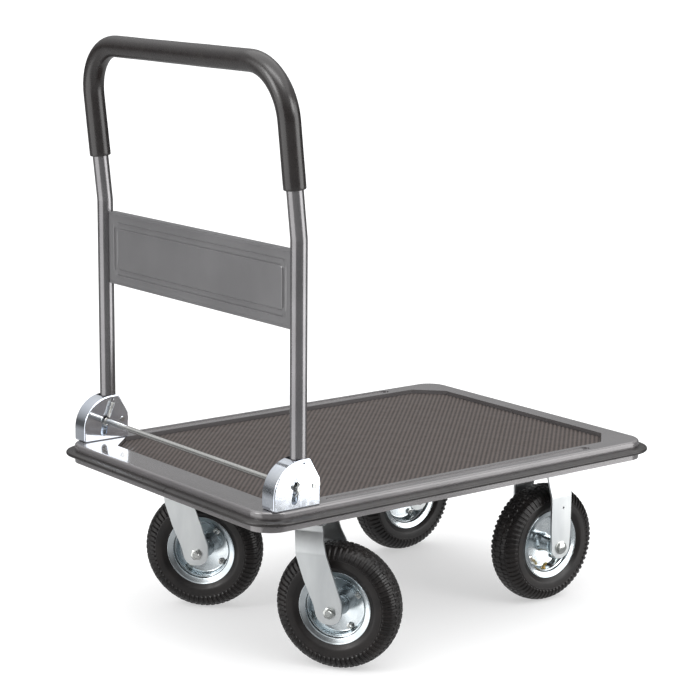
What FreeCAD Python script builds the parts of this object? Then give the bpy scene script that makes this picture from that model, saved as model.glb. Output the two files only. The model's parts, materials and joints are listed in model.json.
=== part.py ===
"""Folding platform cart: steel deck on four pneumatic wheels, with a handle that folds flat.

X runs along the deck, +X away from the handle. Y runs across, +Y is the left side. Z is up.
The origin is on the floor under the deck's centre. Every driving dimension is in the sheet "sizes",
in millimetres and degrees.
"""
import FreeCAD, Part
import Sketcher
import math
import os
import re

from FreeCAD import Placement, Rotation, Vector

DIMENSIONS = {
    # deck
    "deck_length": 860, "deck_width": 610, "deck_top": 297, "deck_depth": 34, "corner_radius": 40,
    "edge_radius": 5, "sheet": 2,
    "border_side": 36, "border_far": 36, "border_handle": 55, "recess_depth": 9, "recess_cut": 48,
    "mat_thick": 2, "mat_gap": 0.5,
    "bead_start": -292, "bead_end": 298, "bead_width": 16, "bead_depth": 2.5, "bead_centre": 286,
    # bumper round the deck
    "bumper_low": 274.5, "bumper_band": 10.5, "bumper_reach": 16, "groove_depth": 6, "bumper_round": 5,
    "seam_centre": -35, "seam_width": 0.8,
    # bolts: across flats, head height, nut height
    "plate_flats": 13, "plate_head": 5, "plate_nut": 6.5, "plate_shank": 16,
    "small_flats": 10, "small_head": 4, "small_nut": 5, "bracket_shank": 15, "bracket_head": 3.5,
    "washer_radius": 7, "washer": 1.5, "axle_flats": 18, "nut_inset": 1.5, "long_bore": 30,
    # rails that carry the casters
    "rail_width": 110, "rail_length": 590,
    # handle brackets
    "leg_offset": 288, "bracket_width": 34, "bracket_back": -412, "bracket_front": -320,
    "bracket_height": 80, "bracket_arch": 58, "bracket_slope": 45, "bracket_bend": 3, "slot_width": 12,
    "bracket_bolt_back": -396, "bracket_bolt_front": -338, "bracket_bolt": 6, "hook_hole": 4,
    # fold pivot and release rod
    "pivot_x": -332, "pivot_z": 330.5, "rivet": 7, "rivet_head": 1.5, "running_gap": 0.05,
    "rod": 10, "rod_x": -368, "rod_z": 332, "rod_half": 314, "slot_lean": 10.3, "rod_travel": 21,
    "split_pin": 2.4, "split_pin_offset": 309,
    "spring_outer": 8, "spring_wire": 1.2, "spring_offset": 266, "hook_x": -353, "hook_z": 370.5,
    # handle
    "tube": 28, "tube_wall": 1.8, "leg_x": -352, "tube_bottom": 352, "kink_z": 730, "kink_radius": 60,
    "lean": 6, "bar_z": 1006, "corner_bend": 90, "grip": 37.5, "grip_low": 810,
    "foot_width": 28, "foot_clear": 30.2, "foot_lug": 14, "foot_spigot": 30,
    "panel_low": 583, "panel_high": 711, "panel_sheet": 1.5, "panel_flange": 13, "panel_end": 28,
    "panel_end_inset": 12, "panel_bead_inset": 16, "panel_bead_width": 13,
    # casters
    "axle_z": 108, "plate_thick": 4, "plate_length": 105, "plate_width": 85,
    "plate_bolt": 8, "bolt_spacing_x": 80, "bolt_spacing_y": 60,
    "swivel_x": -301, "caster_y": 201, "rigid_x": 268, "trail": 86,
    "swing_right": 57, "swing_left": 51,
    "fork_half": 52, "fork_neck": 40, "fork_sheet": 4, "crown_top": 253, "nose_radius": 38,
    "shoulder_low": 205, "shoulder_high": 241, "kingpin": 12, "race_inner": 18, "race_outer": 31,
    "axle": 12, "axle_end": 58, "fork_round": 20,
    # wheels
    "tyre_outer": 216, "tyre_width": 62, "rim_flange": 126, "rim_width": 50, "bead_seat": 101.6,
    "hub": 35, "hub_half": 47, "hub_waist_drop": 3, "hub_seal_drop": 7, "hub_cup_end": 3, "hub_cup_start": 14,
    "hub_middle": 8, "rim_sheet": 2, "rim_bolt": 6, "rim_bolt_circle": 80,
}

doc = FreeCAD.newDocument("platform_cart")
sizes = doc.addObject("Spreadsheet::Sheet", "sizes")
for row, (alias, value) in enumerate(DIMENSIONS.items(), start=1):
    sizes.set(f"A{row}", alias)
    sizes.set(f"B{row}", str(value))
    sizes.setAlias(f"B{row}", alias)
doc.recompute()

gauge = doc.addObject("App::FeaturePython", "gauge")
gauge.addProperty("App::PropertyFloat", "number")
ALONG_Y = Rotation(Vector(1, 0, 0), -90)
SIDES = {"left": 1, "right": -1}
nodes = []


# ---- helpers ----------------------------------------------------------------------------------

def scoped(expression):
    """An expression in bare aliases, with each alias pointed at the sheet."""
    def pointed(word):
        return f"sizes.{word[0]}" if word[0] in DIMENSIONS else word[0]

    return re.sub(r"[a-z_]+", pointed, expression)


def size(expression):
    """The number that an expression in the sheet's aliases has now."""
    gauge.setExpression("number", scoped(expression))
    gauge.recompute()
    return gauge.number


def bind(item, **expressions):
    for name, expression in expressions.items():
        item.setExpression(name, scoped(expression))


def body_named(name):
    body = doc.addObject("PartDesign::Body", name)
    body.Label = name
    nodes.append(body)
    return body


def sketch_on(body, name, role, lift="0"):
    """A sketch on one of the body's own origin planes, raised along the plane's normal."""
    sketch = body.newObject("Sketcher::SketchObject", name)
    origin_plane = next(item for item in body.Origin.OriginFeatures if item.Role == role)
    sketch.AttachmentSupport = (origin_plane, [""])
    sketch.MapMode = "FlatFace"
    sketch.setExpression("AttachmentOffset.Base.z", scoped(lift))
    return sketch


def tie(sketch, kind, first, first_end, second, second_end, name, expression):
    """A named distance in a sketch that follows the sheet."""
    row = sketch.addConstraint(
        Sketcher.Constraint(kind, first, first_end, second, second_end, size(expression)))
    sketch.renameConstraint(row, name)
    sketch.setExpression(f"Constraints.{name}", scoped(expression))


def draw_circle(sketch, radius, x="0", y="0"):
    centre = Vector(size(x), size(y), 0)
    ring = sketch.addGeometry(Part.Circle(centre, Vector(0, 0, 1), size(radius)), False)
    row = sketch.addConstraint(Sketcher.Constraint("Radius", ring, size(radius)))
    sketch.renameConstraint(row, f"radius{ring}")
    sketch.setExpression(f"Constraints.radius{ring}", scoped(radius))
    tie(sketch, "DistanceX", -1, 1, ring, 3, f"across{ring}", x)
    tie(sketch, "DistanceY", -1, 1, ring, 3, f"upward{ring}", y)


def draw_rectangle(sketch, left, right, low, high, radius):
    """A rounded rectangle whose four sides and corner radius follow the sheet."""
    x1, x2, y1, y2 = size(left), size(right), size(low), size(high)
    bend = size(radius)
    sides = [
        (Vector(x1 + bend, y1, 0), Vector(x2 - bend, y1, 0)),
        (Vector(x2, y1 + bend, 0), Vector(x2, y2 - bend, 0)),
        (Vector(x2 - bend, y2, 0), Vector(x1 + bend, y2, 0)),
        (Vector(x1, y2 - bend, 0), Vector(x1, y1 + bend, 0)),
    ]
    centres = [(x2 - bend, y1 + bend), (x2 - bend, y2 - bend), (x1 + bend, y2 - bend), (x1 + bend, y1 + bend)]
    base = sketch.GeometryCount
    for start, end in sides:
        sketch.addGeometry(Part.LineSegment(start, end), False)
    for quarter, (x, y) in enumerate(centres):
        circle = Part.Circle(Vector(x, y, 0), Vector(0, 0, 1), bend)
        turn = (quarter - 1) * math.pi / 2
        sketch.addGeometry(Part.ArcOfCircle(circle, turn, turn + math.pi / 2), False)
    for quarter in range(4):
        line, arc = base + quarter, base + 4 + quarter
        following = base + (quarter + 1) % 4
        sketch.addConstraint(Sketcher.Constraint("Tangent", line, 2, arc, 1))
        sketch.addConstraint(Sketcher.Constraint("Tangent", arc, 2, following, 1))
        if quarter:
            sketch.addConstraint(Sketcher.Constraint("Equal", base + 4, arc))
    for quarter, kind in enumerate(("Horizontal", "Vertical", "Horizontal", "Vertical")):
        sketch.addConstraint(Sketcher.Constraint(kind, base + quarter))
    row = sketch.addConstraint(Sketcher.Constraint("Radius", base + 4, bend))
    sketch.renameConstraint(row, f"radius{base}")
    sketch.setExpression(f"Constraints.radius{base}", scoped(radius))
    tie(sketch, "DistanceX", -1, 1, base + 1, 1, f"right{base}", right)
    tie(sketch, "DistanceX", -1, 1, base + 3, 1, f"left{base}", left)
    tie(sketch, "DistanceY", -1, 1, base, 1, f"low{base}", low)
    tie(sketch, "DistanceY", -1, 1, base + 2, 1, f"high{base}", high)


def rounded_edges(corners):
    """Edges of a closed outline; a corner (x, y, radius) is rounded by a tangent arc."""
    stretches = []
    for index, (x, y, radius) in enumerate(corners):
        here = Vector(x, y, 0)
        before = Vector(*corners[index - 1][:2], 0) - here
        after = Vector(*corners[(index + 1) % len(corners)][:2], 0) - here
        if radius == 0:
            stretches.append((here, here, here))
            continue
        before.normalize()
        after.normalize()
        half = before.getAngle(after) / 2
        middle = (before + after).normalize()
        reach = radius / math.tan(half)
        inner = here + middle * (radius / math.sin(half) - radius)
        stretches.append((here + before * reach, inner, here + after * reach))
    edges = []
    for index, (start, inner, end) in enumerate(stretches):
        if start != end:
            edges.append(Part.Arc(start, inner, end))
        following = stretches[(index + 1) % len(stretches)][0]
        if (following - end).Length > 1e-6:
            edges.append(Part.LineSegment(end, following))
    return edges


def trace(sketch, corners):
    sketch.addGeometry(rounded_edges(corners), False)


def pad(body, sketch, length, both_ways=False, flipped=False):
    feature = body.newObject("PartDesign::Pad", f"{sketch.Name}_pad")
    feature.Profile = sketch
    feature.Midplane = both_ways
    feature.Reversed = flipped
    bind(feature, Length=length)


def pocket(body, sketch, length=None, both_ways=False, flipped=False):
    """A pocket as deep as length, or through the whole body; it must remove material."""
    doc.recompute()
    before = body.Shape.Volume
    feature = body.newObject("PartDesign::Pocket", f"{sketch.Name}_pocket")
    feature.Profile = sketch
    feature.Midplane = both_ways
    feature.Reversed = flipped
    if length is None:
        feature.Type = "ThroughAll"
    else:
        bind(feature, Length=length)
    doc.recompute()
    if body.Shape.Volume > before - 0.1:
        raise RuntimeError(f"{feature.Name} removed nothing")


def round_edges(body, chosen, radius):
    """Fillet the edges of the body's tip that the test chooses."""
    doc.recompute()
    tip = body.Tip
    names = [f"Edge{number}" for number, edge in enumerate(tip.Shape.Edges, start=1) if chosen(edge)]
    feature = body.newObject("PartDesign::Fillet", f"{tip.Name}_rounded")
    feature.Base = (tip, names)
    bind(feature, Radius=radius)


def revolve(name, corners):
    """A body turned round its own Y axis from a half outline of (radius, place along Y, rounding)."""
    body = body_named(name)
    sketch = sketch_on(body, f"{name}_outline", "XY_Plane")
    trace(sketch, corners)
    feature = body.newObject("PartDesign::Revolution", f"{name}_turned")
    feature.Profile = sketch
    feature.ReferenceAxis = (sketch, ["V_Axis"])
    feature.Angle = 360
    return body


def cylinder(name, radius, height, base, turn=Rotation()):
    item = doc.addObject("Part::Cylinder", name)
    bind(item, Radius=radius, Height=height)
    item.Placement = Placement(base, turn)
    return item


def prism(name, across_flats, height, base, turn=Rotation()):
    item = doc.addObject("Part::Prism", name)
    item.Polygon = 6
    bind(item, Circumradius=f"( {across_flats} ) / sqrt(3)", Height=height)
    item.Placement = Placement(base, turn)
    return item


def fused(name, *items):
    joined = doc.addObject("Part::MultiFuse", name)
    joined.Shapes = list(items)
    return joined


def cut_away(name, base, tool):
    item = doc.addObject("Part::Cut", name)
    item.Base = base
    item.Tool = tool
    return item


def group(name, *items):
    """One node of several separate solids."""
    item = doc.addObject("Part::Compound", name)
    item.Links = list(items)
    return keep(item, name)


def keep(item, name):
    item.Label = name
    nodes.append(item)
    return item


# ---- deck -------------------------------------------------------------------------------------

def recess_corners(grow):
    """The recess outline, with its corners cut off, moved outwards by grow."""
    far = size("deck_length / 2 - border_far") + grow
    near = size("border_handle - deck_length / 2") - grow
    half = size("deck_width / 2 - border_side") + grow
    cut = size("recess_cut") + grow * (2 - math.sqrt(2))
    bend = 6
    return [
        (far, half - cut, bend), (far - cut, half, bend), (near + cut, half, bend), (near, half - cut, bend),
        (near, cut - half, bend), (near + cut, -half, bend), (far - cut, -half, bend),
        (far, cut - half, bend),
    ]


def deck_rectangle(sketch, inset):
    half_length = f"deck_length / 2 - {inset}"
    half_width = f"deck_width / 2 - {inset}"
    draw_rectangle(sketch, f"-( {half_length} )", half_length, f"-( {half_width} )", half_width,
                   f"corner_radius - {inset}")


def bead_slots(sketch, grow):
    """The long rounded beads in both side borders."""
    radius = f"bead_width / 2 + {grow}"
    for side in ("-1", "1"):
        centre = f"{side} * bead_centre"
        draw_rectangle(sketch, f"bead_start - {grow}", f"bead_end + {grow}",
                       f"{centre} - ( {radius} )", f"{centre} + ( {radius} )", f"{radius} - 0.01")


def build_deck_tray():
    body = body_named("deck_tray")
    outside = sketch_on(body, "tray_outline", "XY_Plane", "deck_top - deck_depth")
    deck_rectangle(outside, "0")
    pad(body, outside, "deck_depth")
    top = size("deck_top")
    round_edges(body, lambda edge: edge.BoundBox.ZMin > top - 0.1, "edge_radius")
    under = sketch_on(body, "tray_under", "XY_Plane", "deck_top - deck_depth")
    deck_rectangle(under, "sheet")
    pocket(body, under, "deck_depth - recess_depth - sheet", flipped=True)
    border = sketch_on(body, "tray_border_under", "XY_Plane", "deck_top - recess_depth - sheet")
    deck_rectangle(border, "edge_radius")
    trace(border, recess_corners(size("sheet")))
    pocket(body, border, "recess_depth", flipped=True)
    backing = sketch_on(body, "groove_backing", "XY_Plane", "bumper_low - sheet")
    deck_rectangle(backing, "( sheet / 2 )")
    deck_rectangle(backing, "( groove_depth + sheet )")
    pad(body, backing, "bumper_band + 2 * sheet")
    groove = sketch_on(body, "bumper_groove", "XY_Plane", "bumper_low")
    deck_rectangle(groove, "-5")
    deck_rectangle(groove, "groove_depth")
    pocket(body, groove, "bumper_band", flipped=True)
    recess = sketch_on(body, "mat_recess", "XY_Plane", "deck_top - recess_depth")
    trace(recess, recess_corners(0))
    pocket(body, recess, "recess_depth", flipped=True)
    ribs = sketch_on(body, "bead_ribs", "XY_Plane", "deck_top - sheet - bead_depth")
    bead_slots(ribs, "sheet")
    pad(body, ribs, "bead_depth")
    beads = sketch_on(body, "bead_slots", "XY_Plane", "deck_top - bead_depth")
    bead_slots(beads, "0")
    pocket(body, beads, "bead_depth", flipped=True)
    holes = sketch_on(body, "tray_bolt_holes", "XY_Plane", "deck_top - 2 * sheet")
    for side in ("-1", "1"):
        for place in ("bracket_bolt_back", "bracket_bolt_front"):
            draw_circle(holes, "bracket_bolt / 2", place, f"{side} * leg_offset")
    pocket(body, holes, "3 * sheet", flipped=True)


def build_deck_mat():
    body = body_named("deck_mat")
    sketch = sketch_on(body, "mat_outline", "XY_Plane", "deck_top - recess_depth")
    trace(sketch, recess_corners(-size("mat_gap")))
    pad(body, sketch, "mat_thick")


def build_edge_bumper():
    body = body_named("edge_bumper")
    sketch = sketch_on(body, "bumper_outline", "XY_Plane", "bumper_low")
    deck_rectangle(sketch, "( -1 * bumper_reach )")
    deck_rectangle(sketch, "groove_depth")
    pad(body, sketch, "bumper_band")
    reach = size("deck_length / 2 + bumper_reach")
    half = size("deck_width / 2 + bumper_reach")
    low = size("bumper_low")
    high = size("bumper_low + bumper_band")

    def on_nose(edge):
        box = edge.BoundBox
        level = abs(box.ZMax - box.ZMin) < 0.1 and min(abs(box.ZMin - low), abs(box.ZMin - high)) < 0.1
        return level and (max(abs(box.XMin), abs(box.XMax)) > reach - 0.1
                          or max(abs(box.YMin), abs(box.YMax)) > half - 0.1)

    round_edges(body, on_nose, "bumper_round")
    seam = sketch_on(body, "bumper_seam", "XY_Plane", "bumper_low")
    draw_rectangle(seam, "-( deck_length / 2 + 2 * bumper_reach )", "groove_depth * 2 - deck_length / 2",
                   "seam_centre - seam_width / 2", "seam_centre + seam_width / 2", "seam_width / 4")
    pocket(body, seam, "bumper_band", flipped=True)


def build_caster_rail(name, place):
    """A channel across the deck, closed below, that carries two casters."""
    body = body_named(name)
    outside = sketch_on(body, f"{name}_outside", "XY_Plane", "deck_top - deck_depth")
    draw_rectangle(outside, f"{place} - rail_width / 2", f"{place} + rail_width / 2",
                   "-rail_length / 2", "rail_length / 2", "sheet")
    pad(body, outside, "deck_depth - recess_depth - sheet")
    inside = sketch_on(body, f"{name}_inside", "XY_Plane", "deck_top - deck_depth + sheet")
    draw_rectangle(inside, f"{place} - rail_width / 2 + sheet", f"{place} + rail_width / 2 - sheet",
                   "-rail_length", "rail_length", "sheet")
    pocket(body, inside, "deck_depth", flipped=True)
    holes = sketch_on(body, f"{name}_holes", "XY_Plane", "deck_top - deck_depth")
    for side in ("-1", "1"):
        draw_circle(holes, "kingpin / 2", place, f"{side} * caster_y")
        for x in ("-1", "1"):
            for y in ("-1", "1"):
                draw_circle(holes, "plate_bolt / 2", f"{place} + {x} * bolt_spacing_x / 2",
                            f"{side} * caster_y + {y} * bolt_spacing_y / 2")
    pocket(body, holes, "sheet", flipped=True)


def build_caster_bolts():
    """Hexagon bolts up through each caster plate and rail, each with its nut inside the rail."""
    pieces = []
    under = size("deck_top - deck_depth - plate_thick")
    above = size("deck_top - deck_depth + sheet")
    head_drop = Vector(0, 0, size("plate_head"))
    for place in ("swivel_x", "rigid_x"):
        for side in SIDES.values():
            for x in (-1, 1):
                for y in (-1, 1):
                    number = len(pieces)
                    at = Vector(size(place) + x * size("bolt_spacing_x / 2"),
                                side * size("caster_y") + y * size("bolt_spacing_y / 2"), under)
                    shank = cylinder(f"caster_shank{number}", "plate_bolt / 2", "plate_shank", at)
                    head = prism(f"caster_head{number}", "plate_flats", "plate_head", at - head_drop)
                    pieces.append(fused(f"caster_bolt{number}", shank, head))
                    nut = prism(f"caster_nut{number}", "plate_flats", "plate_nut", Vector(at.x, at.y, above))
                    hole = cylinder(f"caster_thread{number}", "plate_bolt / 2", "plate_nut",
                                    Vector(at.x, at.y, above))
                    pieces.append(cut_away(f"caster_ring{number}", nut, hole))
    group("caster_bolts", *pieces)


# ---- handle brackets and release ----------------------------------------------------------------

def bracket_outline(inset, bend):
    """Side view of a bracket: arched back, flat top, sloping front corner."""
    deck = size("deck_top") + inset
    back = size("bracket_back") + inset
    front = size("bracket_front")
    top = size("deck_top + bracket_height") - inset
    arch = size("bracket_arch") - inset
    slope = size("deck_top + bracket_slope")
    return [
        (back, deck, bend), (back, top, arch), (front - 20, top, bend), (front, slope, bend), (front, deck, 0),
    ]


def slot_ends():
    """Centres of the inclined slot's two round ends."""
    lean = math.radians(size("slot_lean"))
    start = Vector(size("rod_x"), size("rod_z"), 0)
    down = Vector(-math.sin(lean), -math.cos(lean), 0)
    return start - down * 4, start + down * (size("rod_travel") + 0.5), down


def build_bracket(side, sign):
    body = body_named(f"bracket_{side}")
    outside = sketch_on(body, f"bracket_{side}_outline", "XZ_Plane")
    trace(outside, bracket_outline(0, 4))
    pad(body, outside, "bracket_width", both_ways=True)
    back = size("bracket_back")
    deck = size("deck_top")

    def at_bend(edge):
        box = edge.BoundBox
        flat = abs(box.YMax - box.YMin) < 0.1
        return flat and (box.ZMax < deck + 0.1 or box.XMax < back + 60)

    round_edges(body, at_bend, "bracket_bend - sheet / 2")
    inside = sketch_on(body, f"bracket_{side}_channel", "XZ_Plane")
    trace(inside, bracket_outline(size("sheet"), 3))
    pocket(body, inside, "bracket_width - 2 * sheet", both_ways=True)
    mouth = sketch_on(body, f"bracket_{side}_mouth", "XZ_Plane")
    draw_rectangle(mouth, "leg_x - tube / 2 - 2", "bracket_front + tube", "deck_top + 2 * sheet",
                   "deck_top + 2 * bracket_height", "sheet / 2")
    pocket(body, mouth, "bracket_width - 2 * sheet", both_ways=True)
    upper, lower, down = slot_ends()
    half = size("slot_width / 2")
    across = Vector(-down.y, down.x, 0) * half
    slot = sketch_on(body, f"bracket_{side}_slot", "XZ_Plane")
    slot.addGeometry([
        Part.LineSegment(upper + across, lower + across),
        Part.Arc(lower + across, lower + down * half, lower - across),
        Part.LineSegment(lower - across, upper - across),
        Part.Arc(upper - across, upper - down * half, upper + across),
    ], False)
    draw_circle(slot, "rivet / 2", "pivot_x", "pivot_z")
    draw_circle(slot, "hook_hole / 2", "hook_x", "hook_z")
    pocket(body, slot, "2 * bracket_width", both_ways=True)
    floor = sketch_on(body, f"bracket_{side}_bolt_holes", "XY_Plane", "deck_top - sheet")
    for place in ("bracket_bolt_back", "bracket_bolt_front"):
        draw_circle(floor, "bracket_bolt / 2", place)
    pocket(body, floor, "3 * sheet", flipped=True)
    body.Placement = Placement(Vector(0, sign * size("leg_offset"), 0), Rotation())


def build_bracket_bolts():
    """Low round-head bolts inside the brackets, with a washer and nut under the deck."""
    pieces = []
    floor = size("deck_top + sheet")
    under = size("deck_top - sheet")
    for sign in SIDES.values():
        for place in ("bracket_bolt_back", "bracket_bolt_front"):
            number = len(pieces)
            x, y = size(place), sign * size("leg_offset")
            shank = cylinder(f"bracket_shank{number}", "bracket_bolt / 2", "bracket_shank",
                             Vector(x, y, floor - size("bracket_shank")))
            head = cylinder(f"bracket_head{number}", "bracket_bolt", "bracket_head", Vector(x, y, floor))
            pieces.append(fused(f"bracket_bolt{number}", shank, head))
            washer = cylinder(f"bracket_washer{number}", "washer_radius", "washer",
                              Vector(x, y, under - size("washer")))
            nut = prism(f"bracket_nut{number}", "small_flats", "small_nut",
                        Vector(x, y, under - size("washer + small_nut")))
            for piece in (washer, nut):
                hole = cylinder(f"{piece.Name}_bore", "bracket_bolt / 2", "long_bore",
                                Vector(x, y, under - size("long_bore / 2")))
                pieces.append(cut_away(f"{piece.Name}_ring", piece, hole))
    group("bracket_bolts", *pieces)


def build_pivot_rivets():
    """The two rivets that each leg folds about, with a low head on both sides of the bracket."""
    pieces = []
    head = size("rivet_head")
    for side, sign in SIDES.items():
        inner_face = sign * size("leg_offset") - size("bracket_width / 2")
        start = Vector(size("pivot_x"), inner_face - head, size("pivot_z"))
        shank = cylinder(f"rivet_shank_{side}", "rivet / 2", "bracket_width + 2 * rivet_head", start, ALONG_Y)
        heads = []
        for end, shift in (("inner", 0), ("outer", size("bracket_width") + head)):
            head_at = start + Vector(0, shift, 0)
            heads.append(cylinder(f"rivet_{end}_{side}", "rivet / 2 + 1.2", "rivet_head", head_at, ALONG_Y))
        pieces.append(fused(f"rivet_{side}", shank, *heads))
    group("pivot_rivets", *pieces)


def build_release_rod():
    rod = cylinder("rod_bar", "rod / 2", "2 * rod_half",
                   Vector(size("rod_x"), -size("rod_half"), size("rod_z")), ALONG_Y)
    holes = []
    for side, sign in SIDES.items():
        holes.append(cylinder(f"rod_hole_{side}", "split_pin / 2", "2 * rod",
                              Vector(size("rod_x"), sign * size("split_pin_offset"), size("rod_z - rod"))))
    drilled = cut_away("rod_drilled", rod, fused("rod_holes", *holes))
    keep(drilled, "release_rod")


def build_split_pins():
    """A split pin through each end of the rod: an eye above and two bent legs below."""
    pieces = []
    for side, sign in SIDES.items():
        foot = Vector(size("rod_x"), sign * size("split_pin_offset"), size("rod_z - rod"))
        shank = cylinder(f"pin_shank_{side}", "split_pin / 2", "2 * rod", foot)
        eye = doc.addObject("Part::Torus", f"pin_eye_{side}")
        bind(eye, Radius1="2.4", Radius2="split_pin / 3")
        eye.Placement = Placement(foot + Vector(0, 0, size("2 * rod") + 2.2), Rotation(Vector(0, 1, 0), 90))
        legs = []
        for turn in (-60, 60):
            legs.append(cylinder(f"pin_leg{turn + 60}_{side}", "split_pin / 4", "6", foot + Vector(0, 0, 0.6),
                                 Rotation(Vector(0, 1, 0), 180 + turn)))
        pieces.append(fused(f"pin_{side}", shank, eye, *legs))
    group("split_pins", *pieces)


def build_rod_spring(side, sign):
    """A tension spring from the bracket's hook hole down to a loop round the rod."""
    wire = size("spring_wire / 2")
    coil = size("spring_outer / 2") - wire
    across = sign * size("spring_offset")
    top = Vector(size("hook_x"), across, size("hook_z"))
    rod = Vector(size("rod_x"), across, size("rod_z"))
    line = (top - rod).normalize()
    loop_radius = size("rod / 2") + 0.4 + wire
    coil_low = rod + line * (loop_radius + 1.0)
    coil_high = top - line * 4.5
    pitch = 2 * wire + 0.5
    helix = Part.makeHelix(pitch, (coil_high - coil_low).Length, coil)
    section = Part.Wire(Part.makeCircle(wire, Vector(coil, 0, 0), Vector(0, 1, 0.06)))
    coils = Part.Wire(helix).makePipeShell([section], True, True)
    coils.Placement = Placement(coil_low, Rotation(Vector(0, 0, 1), line))
    loop = Part.makeTorus(loop_radius, wire, rod, Vector(0, 1, 0))
    lower = Part.makeCylinder(wire, coil + 0.2, coil_low, coils.Placement.Rotation.multVec(Vector(1, 0, 0)))
    upper = Part.makeCylinder(wire, coil + 0.2, coil_high, coils.Placement.Rotation.multVec(Vector(1, 0, 0)))
    neck = Part.makeCylinder(wire, 1.2, coil_low - line * 1.2, line)
    stem = Part.makeCylinder(wire, (top - coil_high).Length, coil_high, line)
    hook = Part.makeCylinder(wire, 7.6, top, Vector(0, sign, 0))
    elbow = Part.makeSphere(wire, top)
    spring = coils.fuse([loop, lower, upper, neck, stem, hook, elbow])
    item = doc.addObject("Part::Feature", f"rod_spring_{side}")
    item.Shape = spring
    keep(item, f"rod_spring_{side}")


# ---- handle -------------------------------------------------------------------------------------

def handle_path(start_z):
    """Centreline of the handle from one leg at start_z over the top bar to the other leg."""
    lean = math.radians(size("lean"))
    half = size("leg_offset")
    kink = size("kink_radius") * math.tan(lean / 2)
    bend = size("corner_bend")
    upward = Vector(-math.sin(lean), 0, math.cos(lean))
    kink_point = Vector(size("leg_x"), 0, size("kink_z"))
    corner = kink_point + upward * (size("bar_z - kink_z") / math.cos(lean))
    side = Vector(0, half, 0)
    edges = []
    if start_z < size("kink_z"):
        first = Vector(size("leg_x"), 0, start_z)
        kink_start = kink_point - Vector(0, 0, kink)
        kink_end = kink_point + upward * kink
        sideways = Vector(-size("kink_radius"), 0, 0)
        halfway = Vector(math.cos(lean / 2), 0, math.sin(lean / 2))
        inner = kink_start + sideways + halfway * size("kink_radius")
        edges.append((first, kink_start))
        edges.append((kink_start, inner, kink_end))
    else:
        kink_end = kink_point + upward * ((start_z - size("kink_z")) / math.cos(lean))
    edges.append((kink_end, corner - upward * bend))
    sagitta = bend * (1 - math.sqrt(0.5))
    arc_middle = Vector(0, sagitta, 0) - upward * sagitta
    near = [[point - side for point in edge] for edge in edges]
    far = [[point + side for point in reversed(edge)] for edge in reversed(edges)]
    bar_start = corner - side + Vector(0, bend, 0)
    bar_end = corner + side - Vector(0, bend, 0)
    right_bend = [near[-1][-1], corner - side + arc_middle, bar_start]
    left_bend = [bar_end, Vector(right_bend[1].x, -right_bend[1].y, right_bend[1].z), far[0][0]]
    route = near + [right_bend, [bar_start, bar_end], left_bend] + far
    curves = [Part.LineSegment(*run) if len(run) == 2 else Part.Arc(*run) for run in route]
    return Part.Wire([curve.toShape() for curve in curves])


def swept(name, radius, spine, start, direction):
    """A round bar of the given radius along the spine."""
    ring = doc.addObject("Part::Circle", f"{name}_section")
    bind(ring, Radius=radius)
    ring.Placement = Placement(start, Rotation(Vector(0, 0, 1), direction))
    sweep = doc.addObject("Part::Sweep", name)
    sweep.Sections = [ring]
    sweep.Spine = (spine, [f"Edge{number + 1}" for number in range(len(spine.Shape.Edges))])
    sweep.Solid = True
    sweep.Frenet = False
    return sweep


def sleeve(name, outer, inner, start_z):
    """A hollow round section along the handle's centreline."""
    spine = doc.addObject("Part::Feature", f"{name}_path")
    spine.Shape = handle_path(start_z)
    start = spine.Shape.Vertexes[0].Point
    direction = spine.Shape.Edges[0].tangentAt(spine.Shape.Edges[0].FirstParameter)
    outside = swept(f"{name}_outside", outer, spine, start, direction)
    inside = swept(f"{name}_inside", inner, spine, start, direction)
    keep(cut_away(f"{name}_wall", outside, inside), name)


def draw_panel_ring(sketch, half, within, outer_radius, inner_radius):
    """The panel's pressed band, as a ring drawn in by the given distance from both its edges."""
    outer = f"( panel_bead_inset + {within} )"
    inner = f"( panel_bead_inset + panel_bead_width - {within} )"
    for inset, radius in ((outer, outer_radius), (inner, inner_radius)):
        draw_rectangle(sketch, f"{inset} - {half}", f"{half} - {inset}",
                       f"panel_low + {inset}", f"panel_high - {inset}", str(radius))


def build_handle_panel():
    """A shallow pan between the legs, its flanges towards the deck's far end."""
    body = body_named("handle_panel")
    half = "( leg_offset - tube / 2 )"
    front = "leg_x - panel_sheet / 2"
    plate = sketch_on(body, "panel_outline", "YZ_Plane", front)
    draw_rectangle(plate, f"-{half}", half, "panel_low", "panel_high", "4")
    pad(body, plate, "panel_flange")
    ends = sketch_on(body, "panel_ends", "YZ_Plane", front)
    for side in ("-1", "1"):
        draw_rectangle(ends, f"{side} * {half} - ( 1 + {side} ) / 2 * panel_sheet",
                       f"{side} * {half} + ( 1 - {side} ) / 2 * panel_sheet",
                       "panel_low + panel_end_inset", "panel_high - panel_end_inset", "0.5")
    pad(body, ends, "panel_end")
    hollow = sketch_on(body, "panel_hollow", "YZ_Plane", "leg_x + panel_sheet / 2")
    draw_rectangle(hollow, f"panel_sheet - {half}", f"{half} - panel_sheet",
                   "panel_low + panel_sheet", "panel_high - panel_sheet", "3")
    pocket(body, hollow, "2 * panel_end", flipped=True)
    bead = sketch_on(body, "panel_bead", "YZ_Plane", "leg_x + panel_sheet / 2")
    draw_panel_ring(bead, half, "0", 14, 3)
    pad(body, bead, "panel_sheet")
    groove = sketch_on(body, "panel_groove", "YZ_Plane", front)
    draw_panel_ring(groove, half, "panel_sheet", 12.5, 4.5)
    pocket(body, groove, "panel_sheet", flipped=True)


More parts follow.
